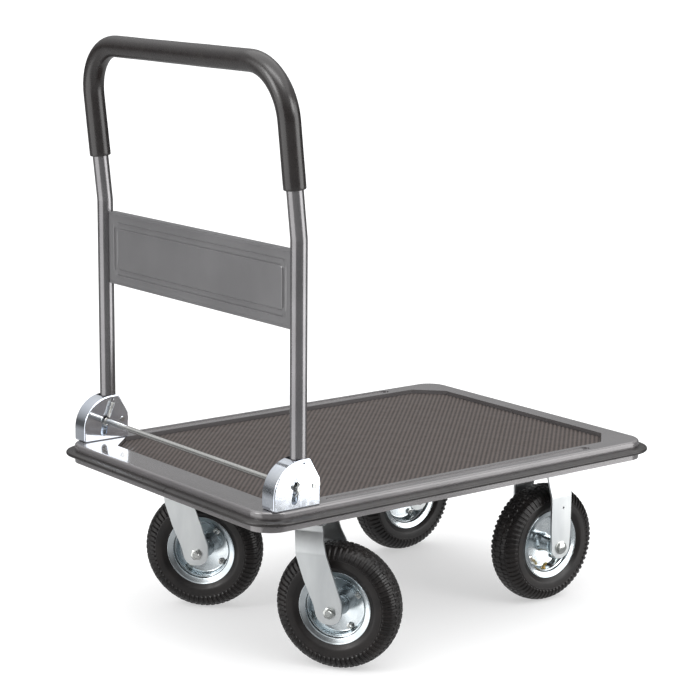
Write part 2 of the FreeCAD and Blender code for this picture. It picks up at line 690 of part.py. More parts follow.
def build_leg_foot(side, sign):
    """The solid foot of a leg: a lug on the pivot, a block in the bracket and a spigot up the tube."""
    body = body_named(f"leg_foot_{side}")
    pivot = Vector(size("pivot_x"), size("pivot_z"), 0)
    clear = size("foot_clear")
    lug = size("foot_lug")
    seat = size("tube_bottom")
    tube_back = size("leg_x - tube / 2")
    tube_front = size("leg_x + tube / 2")

    def around(radius, degrees):
        turn = math.radians(degrees)
        return pivot + Vector(radius * math.cos(turn), radius * math.sin(turn), 0)

    outline = sketch_on(body, f"leg_foot_{side}_outline", "XZ_Plane")
    outline.addGeometry([
        Part.LineSegment(Vector(tube_front, seat, 0), Vector(tube_back, seat, 0)),
        Part.LineSegment(Vector(tube_back, seat, 0), around(clear, 155)),
        Part.Arc(around(clear, 155), around(clear, 185), around(clear, 215)),
        Part.LineSegment(around(clear, 215), around(lug, 270)),
        Part.Arc(around(lug, 270), around(lug, 340), around(lug, 50)),
        Part.LineSegment(around(lug, 50), Vector(tube_front, seat, 0)),
    ], False)
    pad(body, outline, "foot_width", both_ways=True)
    spigot = sketch_on(body, f"leg_foot_{side}_spigot", "XY_Plane", "tube_bottom")
    draw_circle(spigot, "tube / 2 - tube_wall", "leg_x")
    pad(body, spigot, "foot_spigot")
    bore = sketch_on(body, f"leg_foot_{side}_bore", "XZ_Plane")
    draw_circle(bore, "rivet / 2 + running_gap", "pivot_x", "pivot_z")
    pocket(body, bore, "2 * foot_width", both_ways=True)
    body.Placement = Placement(Vector(0, sign * size("leg_offset"), 0), Rotation())


# ---- casters ------------------------------------------------------------------------------------

def fork_legs(body, prefix, top, length_back, length_front):
    """Both legs as one bent strip over the wheel, before its side outline is cut."""
    bent = sketch_on(body, f"{prefix}_bend", "YZ_Plane", length_back)
    wide = size("fork_half")
    neck = size("fork_neck")
    sheet = size("fork_sheet")
    low = size("axle_z - fork_round")
    shoulder = size("shoulder_low")
    high = size("shoulder_high")
    crown = size(top)
    outside = [(wide, low, 0), (wide, shoulder, 14), (neck, high, 10), (neck - 1, crown, 3)]
    inside = [(neck - 1 - sheet, crown - sheet, 1), (neck - sheet, high, 6), (wide - sheet, shoulder - 1, 10),
              (wide - sheet, low, 0)]
    mirrored = [(-y, z, bend) for y, z, bend in reversed(outside)]
    mirrored_inside = [(-y, z, bend) for y, z, bend in reversed(inside)]
    trace(bent, outside + mirrored + mirrored_inside + inside)
    pad(body, bent, f"{length_front} - ( {length_back} )")


def side_cut(body, name, corners):
    """Keep only what lies inside a side outline."""
    sketch = sketch_on(body, name, "XZ_Plane")
    draw_rectangle(sketch, "-2 * plate_length", "3 * plate_length", "0 - plate_length", "2 * deck_top", "1")
    trace(sketch, corners)
    pocket(body, sketch, "4 * fork_half", both_ways=True)


def axle_holes(body, name, x):
    sketch = sketch_on(body, name, "XZ_Plane")
    draw_circle(sketch, "axle / 2", x, "axle_z")
    pocket(body, sketch, "4 * fork_half", both_ways=True)


def build_swivel_fork(side, place):
    """The swivel fork, from its own frame: kingpin on Z, wheel centre one trail along X."""
    name = f"swivel_fork_{side}"
    body = body_named(name)
    fork_legs(body, name, "crown_top", "-50", "130")
    axle = size("trail")
    end = size("fork_round")
    low = size("axle_z - fork_round")
    crown = size("crown_top")
    side_cut(body, f"{name}_side", [
        (axle - end, low, end), (axle + end + 1, low, end), (axle + end + 1, low + 38, 30),
        (axle - 13.5, low + 138, 14), (axle - 21, crown + 20, 0), (axle - 66, crown + 20, 0),
        (axle - 65, crown - 11, 0), (axle - 58.5, low + 112, 10), (axle - 45, low + 72, 20),
        (axle - 27, low + 30, 20),
    ])
    cap = sketch_on(body, f"{name}_cap", "XY_Plane", "shoulder_high - 2")
    nose = size("nose_radius")
    back = size("trail - 20")
    cap.addGeometry([
        Part.Arc(Vector(0, nose, 0), Vector(-nose, 0, 0), Vector(0, -nose, 0)),
        Part.LineSegment(Vector(0, -nose, 0), Vector(back, -nose, 0)),
        Part.LineSegment(Vector(back, -nose, 0), Vector(back, nose, 0)),
        Part.LineSegment(Vector(back, nose, 0), Vector(0, nose, 0)),
    ], False)
    pad(body, cap, "crown_top - shoulder_high + 2")
    inside = sketch_on(body, f"{name}_cap_inside", "XY_Plane", "shoulder_high - 2")
    hollow = nose - size("fork_sheet")
    inside.addGeometry([
        Part.Arc(Vector(0, hollow, 0), Vector(-hollow, 0, 0), Vector(0, -hollow, 0)),
        Part.LineSegment(Vector(0, -hollow, 0), Vector(back + 5, -hollow, 0)),
        Part.LineSegment(Vector(back + 5, -hollow, 0), Vector(back + 5, hollow, 0)),
        Part.LineSegment(Vector(back + 5, hollow, 0), Vector(0, hollow, 0)),
    ], False)
    pocket(body, inside, "crown_top - shoulder_high + 2 - fork_sheet", flipped=True)
    pin = sketch_on(body, f"{name}_kingpin_hole", "XY_Plane", "crown_top - 2 * fork_sheet")
    draw_circle(pin, "kingpin / 2 + running_gap")
    pocket(body, pin, "3 * fork_sheet", flipped=True)
    axle_holes(body, f"{name}_axle_holes", "trail")
    body.Placement = place


def build_rigid_fork(side, place):
    """The rigid fork with its own top plate, from a frame under the wheel centre."""
    name = f"rigid_fork_{side}"
    body = body_named(name)
    fork_legs(body, name, "deck_top - deck_depth", "-24", "24")
    end = size("fork_round")
    low = size("axle_z - fork_round")
    top = size("deck_top")
    side_cut(body, f"{name}_side", [
        (-end, low, end), (end, low, end), (23, low + 50, 60), (24, top, 0), (-24, top, 0),
        (-23, low + 50, 60),
    ])
    plate = sketch_on(body, f"{name}_plate", "XY_Plane", "deck_top - deck_depth - plate_thick")
    draw_rectangle(plate, "-plate_length / 2", "plate_length / 2", "-plate_width / 2", "plate_width / 2", "8")
    pad(body, plate, "plate_thick")
    plate_holes(body, name)
    axle_holes(body, f"{name}_axle_holes", "0")
    drain = sketch_on(body, f"{name}_small_hole", "XZ_Plane")
    draw_circle(drain, "2", "5", "axle_z + 74")
    pocket(body, drain, "4 * fork_half", both_ways=True)
    body.Placement = place


def plate_holes(body, name):
    holes = sketch_on(body, f"{name}_plate_holes", "XY_Plane", "deck_top - deck_depth - plate_thick")
    for x in ("-1", "1"):
        for y in ("-1", "1"):
            draw_circle(holes, "plate_bolt / 2", f"{x} * bolt_spacing_x / 2", f"{y} * bolt_spacing_y / 2")
    pocket(body, holes, "plate_thick", flipped=True)


def build_top_plate(side, kingpin_at):
    name = f"swivel_plate_{side}"
    body = body_named(name)
    plate = sketch_on(body, f"{name}_outline", "XY_Plane", "deck_top - deck_depth - plate_thick")
    draw_rectangle(plate, "-plate_length / 2", "plate_length / 2", "-plate_width / 2", "plate_width / 2", "8")
    draw_circle(plate, "kingpin / 2")
    pad(body, plate, "plate_thick")
    plate_holes(body, name)
    body.Placement = Placement(kingpin_at, Rotation())


def build_kingpin(side, kingpin_at):
    """The riveted pin that the fork turns on, with its head under the crown."""
    name = f"kingpin_{side}"
    head_top = size("crown_top - fork_sheet") - 0.5
    shank = cylinder(f"{name}_shank", "kingpin / 2", f"deck_top - deck_depth + sheet - {head_top}",
                     kingpin_at + Vector(0, 0, head_top))
    head = cylinder(f"{name}_head", "kingpin", "5", kingpin_at + Vector(0, 0, head_top - 5))
    keep(fused(f"{name}_whole", shank, head), name)


def build_ball_race(side, place):
    """The pressed race on the crown, with a ring of balls showing at its rim."""
    name = f"ball_race_{side}"
    low = size("crown_top")
    height = size("deck_top - deck_depth - plate_thick - crown_top") - 0.4
    outer = cylinder(f"{name}_outer", "race_outer", str(height), Vector(0, 0, low))
    inner = cylinder(f"{name}_inner", "race_inner", "20", Vector(0, 0, low - 5))
    ring = cut_away(f"{name}_ring", outer, inner)
    balls = []
    count = 16
    for number in range(count):
        ball = doc.addObject("Part::Sphere", f"{name}_ball{number}")
        bind(ball, Radius="2.6")
        turn = 2 * math.pi * number / count
        reach = size("race_outer") - 0.8
        centre = Vector(reach * math.cos(turn), reach * math.sin(turn), low + height / 2)
        ball.Placement = Placement(centre, Rotation())
        balls.append(ball)
    whole = keep(fused(f"{name}_whole", ring, *balls), name)
    whole.Placement = place


def axle_pieces(prefix, place):
    """An axle bolt with its head on +Y and its nut on -Y, in the wheel's frame."""
    seat = size("fork_half")
    end = size("axle_end")
    shank = cylinder(f"{prefix}_shank", "axle / 2", "axle_end + fork_half", Vector(0, -end, 0), ALONG_Y)
    head = prism(f"{prefix}_head", "axle_flats", "axle_end - fork_half", Vector(0, seat, 0), ALONG_Y)
    bolt = fused(f"{prefix}_bolt", shank, head)
    blank = prism(f"{prefix}_blank", "axle_flats", "axle_end - fork_half - nut_inset",
                  Vector(0, size("nut_inset") - end, 0), ALONG_Y)
    bore = cylinder(f"{prefix}_thread", "axle / 2", "long_bore", Vector(0, -end - 5, 0), ALONG_Y)
    nut = cut_away(f"{prefix}_nut", blank, bore)
    bolt.Placement = place
    nut.Placement = place
    return bolt, nut


# ---- wheels -------------------------------------------------------------------------------------

def build_tyre(name, place):
    """A hollow tyre whose beads sit inside the rim's flanges."""
    outer = size("tyre_outer / 2")
    half = size("tyre_width / 2")
    seat = size("bead_seat / 2") + 0.3
    flange = size("rim_flange / 2")
    bead = size("rim_width / 2 - rim_sheet") - 0.3
    wall = 6
    outside = [
        (seat, bead, 2), (flange, bead, 2), (flange + 3, half - 4, 3), (flange + 16, half, 12),
        (outer - 12, half - 2, 6), (outer - 1, half - 8, 3),
    ]
    inside = [(outer - 9, half - 13, 6), (flange + 15, half - wall, 10), (flange + 3, bead - wall, 5),
              (seat, bead - wall, 0)]
    far_outside = [(radius, -along, bend) for radius, along, bend in reversed(outside)]
    far_inside = [(radius, -along, bend) for radius, along, bend in reversed(inside)]
    crown = 200
    outline = outside + [(outer, 0, crown)] + far_outside + far_inside + [(outer - 8, 0, crown)] + inside
    body = revolve(f"tyre_{name}", outline)
    body.Placement = place


def build_rim_half(name, label, sign, place):
    """One pressed half of the rim: hub collar, bolted disc, barrel and flange."""
    hub = size("hub / 2")
    seat = size("bead_seat / 2")
    flange = size("rim_flange / 2")
    sheet = size("rim_sheet")
    edge = size("rim_width / 2")
    face = [
        (hub, 0, 0), (hub, sheet, 0), (seat - sheet - 1, sheet, 1.5), (seat - sheet, sheet + 4, 3),
        (seat - sheet, edge, 2), (flange, edge + 1, 0), (flange, edge + 1 - sheet, 0),
        (seat, edge - sheet, 1), (seat, sheet + 3, 4), (seat - 3, 0, 2),
    ]
    body = revolve(f"rim_{label}_{name}", [(radius, sign * along, bend) for radius, along, bend in face])
    holes = sketch_on(body, f"rim_{label}_{name}_holes", "XZ_Plane")
    for number in range(4):
        turn = math.radians(45 + 90 * number)
        reach = size("rim_bolt_circle / 2")
        draw_circle(holes, "rim_bolt / 2", str(reach * math.cos(turn)), str(reach * math.sin(turn)))
    pocket(body, holes, "tyre_width", both_ways=True)
    if label == "valve_side":
        opening = sketch_on(body, f"rim_{label}_{name}_valve_hole", "XY_Plane")
        draw_circle(opening, "4", "0", "12")
        pocket(body, opening, flipped=True)
    body.Placement = place


def build_rim_bolts(name, place):
    """Four hexagon bolts with nuts that hold the rim halves together."""
    pieces = []
    sheet = size("rim_sheet")
    reach = size("rim_bolt_circle / 2")
    stud = size("small_nut") + 3
    for number in range(4):
        turn = math.radians(45 + 90 * number)
        at = Vector(reach * math.cos(turn), 0, reach * math.sin(turn))
        tag = f"rim_{name}_{number}"
        shank = cylinder(f"{tag}_shank", "rim_bolt / 2", f"2 * rim_sheet + {stud}",
                         at - Vector(0, sheet + stud, 0), ALONG_Y)
        head = prism(f"{tag}_head", "small_flats", "small_head", at + Vector(0, sheet, 0), ALONG_Y)
        pieces.append(fused(f"{tag}_bolt", shank, head))
        blank = prism(f"{tag}_blank", "small_flats", "small_nut",
                      at - Vector(0, sheet + size("small_nut"), 0), ALONG_Y)
        bore = cylinder(f"{tag}_thread", "rim_bolt / 2", "long_bore / 2",
                        at - Vector(0, sheet + size("long_bore / 2"), 0), ALONG_Y)
        pieces.append(cut_away(f"{tag}_nut", blank, bore))
    whole = group(f"rim_bolts_{name}", *pieces)
    whole.Placement = place


def build_hub(name, place):
    """The hub barrel with the outer ring of a ball bearing in each end."""
    bore = size("axle / 2 + running_gap")
    outer = size("hub / 2")
    half = size("hub_half")
    waist = outer - size("hub_waist_drop")
    seal = outer - size("hub_seal_drop")
    cup = half - size("hub_cup_end")
    neck = half - size("hub_cup_start")
    middle = size("hub_middle")
    near = [(bore, -half, 0), (seal, -half, 1), (seal, -cup, 0), (outer, -cup, 1), (outer, -neck, 1),
            (waist, -neck, 1), (waist, -middle, 0), (outer, -middle, 0)]
    far = [(radius, -along, bend) for radius, along, bend in reversed(near)]
    body = revolve(f"hub_{name}", near + far)
    body.Placement = place


def build_valve(name, place):
    """A bent brass stem out of the rim barrel with its dust cap."""
    seat = size("bead_seat / 2")
    along = 12
    stem = 3
    bend = 8
    start = Vector(0, along, seat + 2)
    low = Vector(0, along, seat - 5)
    turned = Vector(0, along + bend, seat - 5 - bend)
    inner = Vector(0, along + bend * (1 - math.sqrt(0.5)), seat - 5 - bend * math.sqrt(0.5))
    end = turned + Vector(0, 6, 0)
    route = Part.Wire([Part.LineSegment(start, low).toShape(), Part.Arc(low, inner, turned).toShape(),
                       Part.LineSegment(turned, end).toShape()])
    section = Part.Wire(Part.makeCircle(stem, start, Vector(0, 0, -1)))
    tube = route.makePipeShell([section], True, False)
    cap = Part.makeCylinder(stem + 1, 9, end, Vector(0, 1, 0))
    item = doc.addObject("Part::Feature", f"valve_{name}")
    item.Shape = Part.makeCompound([tube, cap])
    item.Placement = place
    keep(item, f"valve_{name}")


def build_wheel(name, place, phase):
    """One wheel in its own frame: axle along Y, nuts on -Y, valve on +Y."""
    spun = place.multiply(Placement(Vector(), Rotation(Vector(0, 1, 0), phase)))
    build_tyre(name, spun)
    build_rim_half(name, "nut_side", -1, spun)
    build_rim_half(name, "valve_side", 1, spun)
    build_rim_bolts(name, spun)
    build_hub(name, spun)
    build_valve(name, spun)


# ---- the cart -----------------------------------------------------------------------------------

build_deck_tray()
build_deck_mat()
build_edge_bumper()
build_caster_rail("caster_rail_handle_end", "swivel_x")
build_caster_rail("caster_rail_far_end", "rigid_x")
build_caster_bolts()
build_bracket_bolts()
build_pivot_rivets()
build_release_rod()
build_split_pins()
sleeve("handle_tube", "tube / 2", "tube / 2 - tube_wall", size("tube_bottom"))
sleeve("handle_grip", "grip / 2", "tube / 2", size("grip_low"))
build_handle_panel()
for side, sign in SIDES.items():
    build_bracket(side, sign)
    build_leg_foot(side, sign)
    build_rod_spring(side, sign)

WHEEL_PHASE = {"swivel_left": -8, "swivel_right": 15, "rigid_left": 20, "rigid_right": 175}
for side, sign in SIDES.items():
    kingpin_at = Vector(size("swivel_x"), sign * size("caster_y"), 0)
    swivel = Placement(kingpin_at, Rotation(Vector(0, 0, 1), -size(f"swing_{side}")))
    build_top_plate(side, kingpin_at)
    build_kingpin(side, kingpin_at)
    build_ball_race(side, swivel)
    build_swivel_fork(side, swivel)
    wheel_at = swivel.multiply(Placement(Vector(size("trail"), 0, size("axle_z")), Rotation()))
    bolt, nut = axle_pieces(f"swivel_{side}", wheel_at)
    keep(bolt, f"axle_bolt_swivel_{side}")
    keep(nut, f"axle_nut_swivel_{side}")
    build_wheel(f"swivel_{side}", wheel_at, WHEEL_PHASE[f"swivel_{side}"])

rigid_bolts = []
rigid_nuts = []
for side, sign in SIDES.items():
    under = Vector(size("rigid_x"), sign * size("caster_y"), 0)
    build_rigid_fork(side, Placement(under, Rotation()))
    centre = under + Vector(0, 0, size("axle_z"))
    turned = Placement(centre, Rotation(Vector(0, 0, 1), 90 - 90 * sign))
    bolt, nut = axle_pieces(f"rigid_{side}", turned)
    rigid_bolts.append(bolt)
    rigid_nuts.append(nut)
    build_wheel(f"rigid_{side}", turned, WHEEL_PHASE[f"rigid_{side}"])
group("axle_bolts_rigid", *rigid_bolts)
group("axle_nuts_rigid", *rigid_nuts)

doc.recompute()
for item in doc.Objects:
    if "Invalid" in item.State or "Error" in item.State:
        raise RuntimeError(f"{item.Name} did not build: {item.State}")
for item in nodes:
    if item.Shape.isNull() or not item.Shape.isValid():
        raise RuntimeError(f"{item.Label} has no valid shape")
os.makedirs("parts", exist_ok=True)
for item in nodes:
    item.Shape.exportStep(f"parts/{item.Label}.step")
print(len(nodes), "nodes written")
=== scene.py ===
"""Folding platform cart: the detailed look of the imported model, seen from its handle end."""
import json
import math

import bpy
from mathutils import Matrix, Vector


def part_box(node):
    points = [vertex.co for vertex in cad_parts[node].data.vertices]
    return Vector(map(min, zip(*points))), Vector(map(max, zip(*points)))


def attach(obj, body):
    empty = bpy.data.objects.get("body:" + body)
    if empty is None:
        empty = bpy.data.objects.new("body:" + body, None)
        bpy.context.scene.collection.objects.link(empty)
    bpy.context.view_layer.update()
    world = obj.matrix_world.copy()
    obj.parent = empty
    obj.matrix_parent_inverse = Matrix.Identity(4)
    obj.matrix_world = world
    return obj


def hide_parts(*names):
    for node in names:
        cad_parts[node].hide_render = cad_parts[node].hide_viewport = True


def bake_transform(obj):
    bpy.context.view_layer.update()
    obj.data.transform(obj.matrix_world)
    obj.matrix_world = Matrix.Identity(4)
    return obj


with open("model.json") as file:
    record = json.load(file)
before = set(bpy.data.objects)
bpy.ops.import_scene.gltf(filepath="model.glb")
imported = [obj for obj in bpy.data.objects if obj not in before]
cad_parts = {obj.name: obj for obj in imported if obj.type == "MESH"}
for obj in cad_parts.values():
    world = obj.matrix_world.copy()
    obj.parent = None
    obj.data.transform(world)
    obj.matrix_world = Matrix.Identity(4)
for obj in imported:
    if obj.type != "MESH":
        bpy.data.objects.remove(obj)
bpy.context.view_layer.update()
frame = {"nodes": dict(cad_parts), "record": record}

MM = 0.001
JOINTS = {joint["name"]: joint for joint in frame["record"]["behaviour"]["joints"]}
SIDES = {"left": 1, "right": -1}
WHEELS = ("swivel_left", "swivel_right", "rigid_left", "rigid_right")


# ---- camera, lights and floor ------------------------------------------------------------------

CAMERA_AT = (-2.40159, -3.03527, 1.24993)
CAMERA_TURN = (-38.09, 11.49, 0.48)
LENS = 113.13
LIGHTS_AIM = (0, 0, 0.45)
WORLD_SHADES = ((0, 0.65), (0.36, 0.45), (0.46, 0.10), (0.53, 0.10), (0.60, 0.32), (0.8, 0.8), (1, 0.9))


def camera_axes():
    """Right, up and back directions of the camera, from its azimuth, elevation and roll."""
    azimuth, elevation, roll = (math.radians(turn) for turn in CAMERA_TURN)
    back = Vector((math.sin(azimuth) * math.cos(elevation), -math.cos(azimuth) * math.cos(elevation),
                   math.sin(elevation)))
    right = Vector((math.cos(azimuth), math.sin(azimuth), 0))
    up = back.cross(right)
    rolled_right = right * math.cos(roll) + up * math.sin(roll)
    rolled_up = up * math.cos(roll) - right * math.sin(roll)
    return rolled_right, rolled_up, back


def set_view():
    view = bpy.context.scene.view_settings
    view.view_transform = "Standard"
    view.look = "None"
    view.exposure = 0.0
    view.gamma = 1.0


def make_camera():
    data = bpy.data.cameras.new("camera")
    data.lens = LENS
    data.sensor_width = 36
    data.clip_end = 200
    camera = bpy.data.objects.new("camera", data)
    bpy.context.collection.objects.link(camera)
    camera.matrix_world = Matrix.Translation(CAMERA_AT) @ Matrix(camera_axes()).transposed().to_4x4()
    bpy.context.scene.camera = camera


def soft_box(name, azimuth, height, distance, wide, tall, watts, shine_only):
    """An area light at an azimuth round the cart; with shine_only it only shows in reflections."""
    turn = math.radians(azimuth)
    place = Vector((math.sin(turn) * distance, -math.cos(turn) * distance, height))
    data = bpy.data.lights.new(name, "AREA")
    data.shape = "RECTANGLE"
    data.size = wide
    data.size_y = tall
    data.energy = watts
    light = bpy.data.objects.new(name, data)
    light.location = place
    light.rotation_euler = (Vector(LIGHTS_AIM) - place).to_track_quat("-Z", "Y").to_euler()
    light.visible_diffuse = not shine_only
    light.visible_camera = False
    bpy.context.collection.objects.link(light)


def make_world():
    """A studio that is bright overhead and darker near the horizon."""
    world = bpy.data.worlds.new("studio")
    bpy.context.scene.world = world
    world.use_nodes = True
    nodes, links = world.node_tree.nodes, world.node_tree.links
    background = nodes["Background"]
    place = nodes.new("ShaderNodeTexCoord")
    split = nodes.new("ShaderNodeSeparateXYZ")
    rise = nodes.new("ShaderNodeMapRange")
    rise.inputs["From Min"].default_value = -1
    shade = nodes.new("ShaderNodeValToRGB")
    elements = shade.color_ramp.elements
    for position, grey in WORLD_SHADES:
        element = elements[0] if position == 0 else elements[-1] if position == 1 else elements.new(position)
        element.position = position
        element.color = (grey * 0.985, grey * 0.99, grey, 1)
    links.new(place.outputs["Generated"], split.inputs[0])
    links.new(split.outputs["Z"], rise.inputs["Value"])
    links.new(rise.outputs["Result"], shade.inputs["Fac"])
    links.new(shade.outputs["Color"], background.inputs["Color"])
    data = bpy.data.lights.new("ceiling", "SUN")
    data.energy = 2.0
    data.angle = math.radians(100)
    bpy.context.collection.objects.link(bpy.data.objects.new("ceiling", data))


def make_floor():
    mesh = bpy.data.meshes.new("floor")
    reach = 60
    mesh.from_pydata([(-reach, -reach, 0), (reach, -reach, 0), (reach, reach, 0), (-reach, reach, 0)], [],
                     [(0, 1, 2, 3)])
    floor = bpy.data.objects.new("floor", mesh)
    bpy.context.collection.objects.link(floor)
    floor.data.materials.append(plain_material("floor_paper", (0.55, 0.55, 0.55), 0.9, 0.5))
    floor.visible_glossy = False


def make_backdrop():
    """A pale wall all round, far off, that only the camera sees."""
    count, radius, top = 32, 50, 80
    ring = [(radius * math.cos(2 * math.pi * step / count), radius * math.sin(2 * math.pi * step / count))
            for step in range(count)]
    vertices = [(x, y, z) for z in (-top, top) for x, y in ring]
    mesh = bpy.data.meshes.new("backdrop")
    mesh.from_pydata(vertices, [], grid_faces(2, count, False, True))
    wall = bpy.data.objects.new("backdrop", mesh)
    bpy.context.collection.objects.link(wall)
    wall.data.materials.append(plain_material("backdrop_paper", (0, 0, 0), 1.0, 1.0))
    wall.visible_glossy = wall.visible_diffuse = wall.visible_shadow = wall.visible_transmission = False


# ---- materials ---------------------------------------------------------------------------------

def new_material(name):
    material = bpy.data.materials.new(name)
    material.use_nodes = True
    tree = material.node_tree
    return material, tree.nodes, tree.links, tree.nodes["Principled BSDF"]


def plain_material(name, colour, roughness, glow=0.0):
    material, _, _, shader = new_material(name)
    shader.inputs["Base Color"].default_value = (*colour, 1)
    shader.inputs["Roughness"].default_value = roughness
    shader.inputs["Emission Color"].default_value = (1, 1, 1, 1)
    shader.inputs["Emission Strength"].default_value = glow
    return material


def noise(nodes, links, scale, detail=3.0, stretch=(1, 1, 1)):
    """Noise over the surface, in metres of object space, stretched along an axis."""
    place = nodes.new("ShaderNodeTexCoord")
    mapping = nodes.new("ShaderNodeMapping")
    mapping.inputs["Scale"].default_value = stretch
    texture = nodes.new("ShaderNodeTexNoise")
    texture.inputs["Scale"].default_value = scale
    texture.inputs["Detail"].default_value = detail
    links.new(place.outputs["Object"], mapping.inputs["Vector"])
    links.new(mapping.outputs["Vector"], texture.inputs["Vector"])
    return texture.outputs["Fac"]


def cells(nodes, links, scale):
    place = nodes.new("ShaderNodeTexCoord")
    texture = nodes.new("ShaderNodeTexVoronoi")
    texture.inputs["Scale"].default_value = scale
    links.new(place.outputs["Object"], texture.inputs["Vector"])
    return texture.outputs["Color"]


def ramp(nodes, links, source, stops, socket):
    """Feed a socket from a colour ramp over the source; each stop is (position, colour)."""
    node = nodes.new("ShaderNodeValToRGB")
    elements = node.color_ramp.elements
    while len(elements) < len(stops):
        elements.new(0.5)
    for element, (position, colour) in zip(elements, stops):
        element.position = position
        element.color = colour if len(colour) == 4 else (*colour, 1)
    links.new(source, node.inputs["Fac"])
    links.new(node.outputs["Color"], socket)
    return node


def spread(nodes, links, source, low, high, socket, from_low=0.3, from_high=0.7):
    node = nodes.new("ShaderNodeMapRange")
    node.inputs["From Min"].default_value = from_low
    node.inputs["From Max"].default_value = from_high
    node.inputs["To Min"].default_value = low
    node.inputs["To Max"].default_value = high
    links.new(source, node.inputs["Value"])
    links.new(node.outputs["Result"], socket)


def bump(nodes, links, source, shader, distance, strength=1.0):
    node = nodes.new("ShaderNodeBump")
    node.inputs["Distance"].default_value = distance
    node.inputs["Strength"].default_value = strength
    links.new(source, node.inputs["Height"])
    links.new(node.outputs["Normal"], shader.inputs["Normal"])
    return node


def paint(name, dark, light, roughness, coat, metallic):
    """Stove enamel: slight tone drift, faint orange peel and a clear glossy skin."""
    peel = 0.004 * MM
    material, nodes, links, shader = new_material(name)
    ramp(nodes, links, noise(nodes, links, 9, 5), [(0.35, dark), (0.65, light)], shader.inputs["Base Color"])
    spread(nodes, links, noise(nodes, links, 40, 2), roughness - 0.015, roughness + 0.02,
           shader.inputs["Roughness"])
    bump(nodes, links, noise(nodes, links, 260, 1), shader, peel, 0.15)
    shader.inputs["Metallic"].default_value = metallic
    shader.inputs["Coat Weight"].default_value = coat
    shader.inputs["Coat Roughness"].default_value = 0.06
    return material


def plating(name, dark, light, low, high, cell_scale=None, brushed=(1, 1, 1)):
    """Zinc plating: drifting tint, fine drawing marks and uneven shine, spangled if given a cell_scale."""
    marks = 0.04 * MM
    material, nodes, links, shader = new_material(name)
    source = noise(nodes, links, 22, 6, brushed)
    ramp(nodes, links, source, [(0.32, dark), (0.68, light)], shader.inputs["Base Color"])
    shader.inputs["Metallic"].default_value = 1.0
    rough_source = cells(nodes, links, cell_scale) if cell_scale else noise(nodes, links, 90, 5, brushed)
    spread(nodes, links, rough_source, low, high, shader.inputs["Roughness"], 0.1, 0.9)
    bump(nodes, links, noise(nodes, links, 160, 4, brushed), shader, marks, 0.4)
    return material


def rubber(name, dark, light, low, high, grain, depth, specular):
    """Rubber, foam or black plastic: its grain is how fine its skin is, and depth how deep."""
    material, nodes, links, shader = new_material(name)
    ramp(nodes, links, noise(nodes, links, 30, 6), [(0.3, dark), (0.7, light)], shader.inputs["Base Color"])
    spread(nodes, links, noise(nodes, links, 70, 5), low, high, shader.inputs["Roughness"])
    bump(nodes, links, noise(nodes, links, grain, 4), shader, depth, 0.6)
    shader.inputs["Specular IOR Level"].default_value = specular
    return material


def grooved_mat():
    """Ribbed mat: brown-grey, with painted shade darkening the low places between its ribs."""
    material, nodes, links, shader = new_material("mat_rubber")
    place = nodes.new("ShaderNodeTexCoord")
    split = nodes.new("ShaderNodeSeparateXYZ")
    links.new(place.outputs["Object"], split.inputs[0])
    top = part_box("deck_mat")[1][2]
    height = nodes.new("ShaderNodeMapRange")
    height.inputs["From Min"].default_value = top - 1.1 * MM
    height.inputs["From Max"].default_value = top - 0.1 * MM
    links.new(split.outputs["Z"], height.inputs["Value"])
    # painted shade: the base colour runs from near black at the bottom of the grooves to brown-grey on the
    # rib tops
    ramp(nodes, links, height.outputs["Result"], [(0.0, (0.020, 0.016, 0.015)), (1.0, (0.096, 0.078, 0.071))],
         shader.inputs["Base Color"])
    spread(nodes, links, noise(nodes, links, 50, 4), 0.5, 0.68, shader.inputs["Roughness"])
    bump(nodes, links, noise(nodes, links, 900, 3), shader, 0.00012, 0.5)
    shader.inputs["Specular IOR Level"].default_value = 0.25
    return material


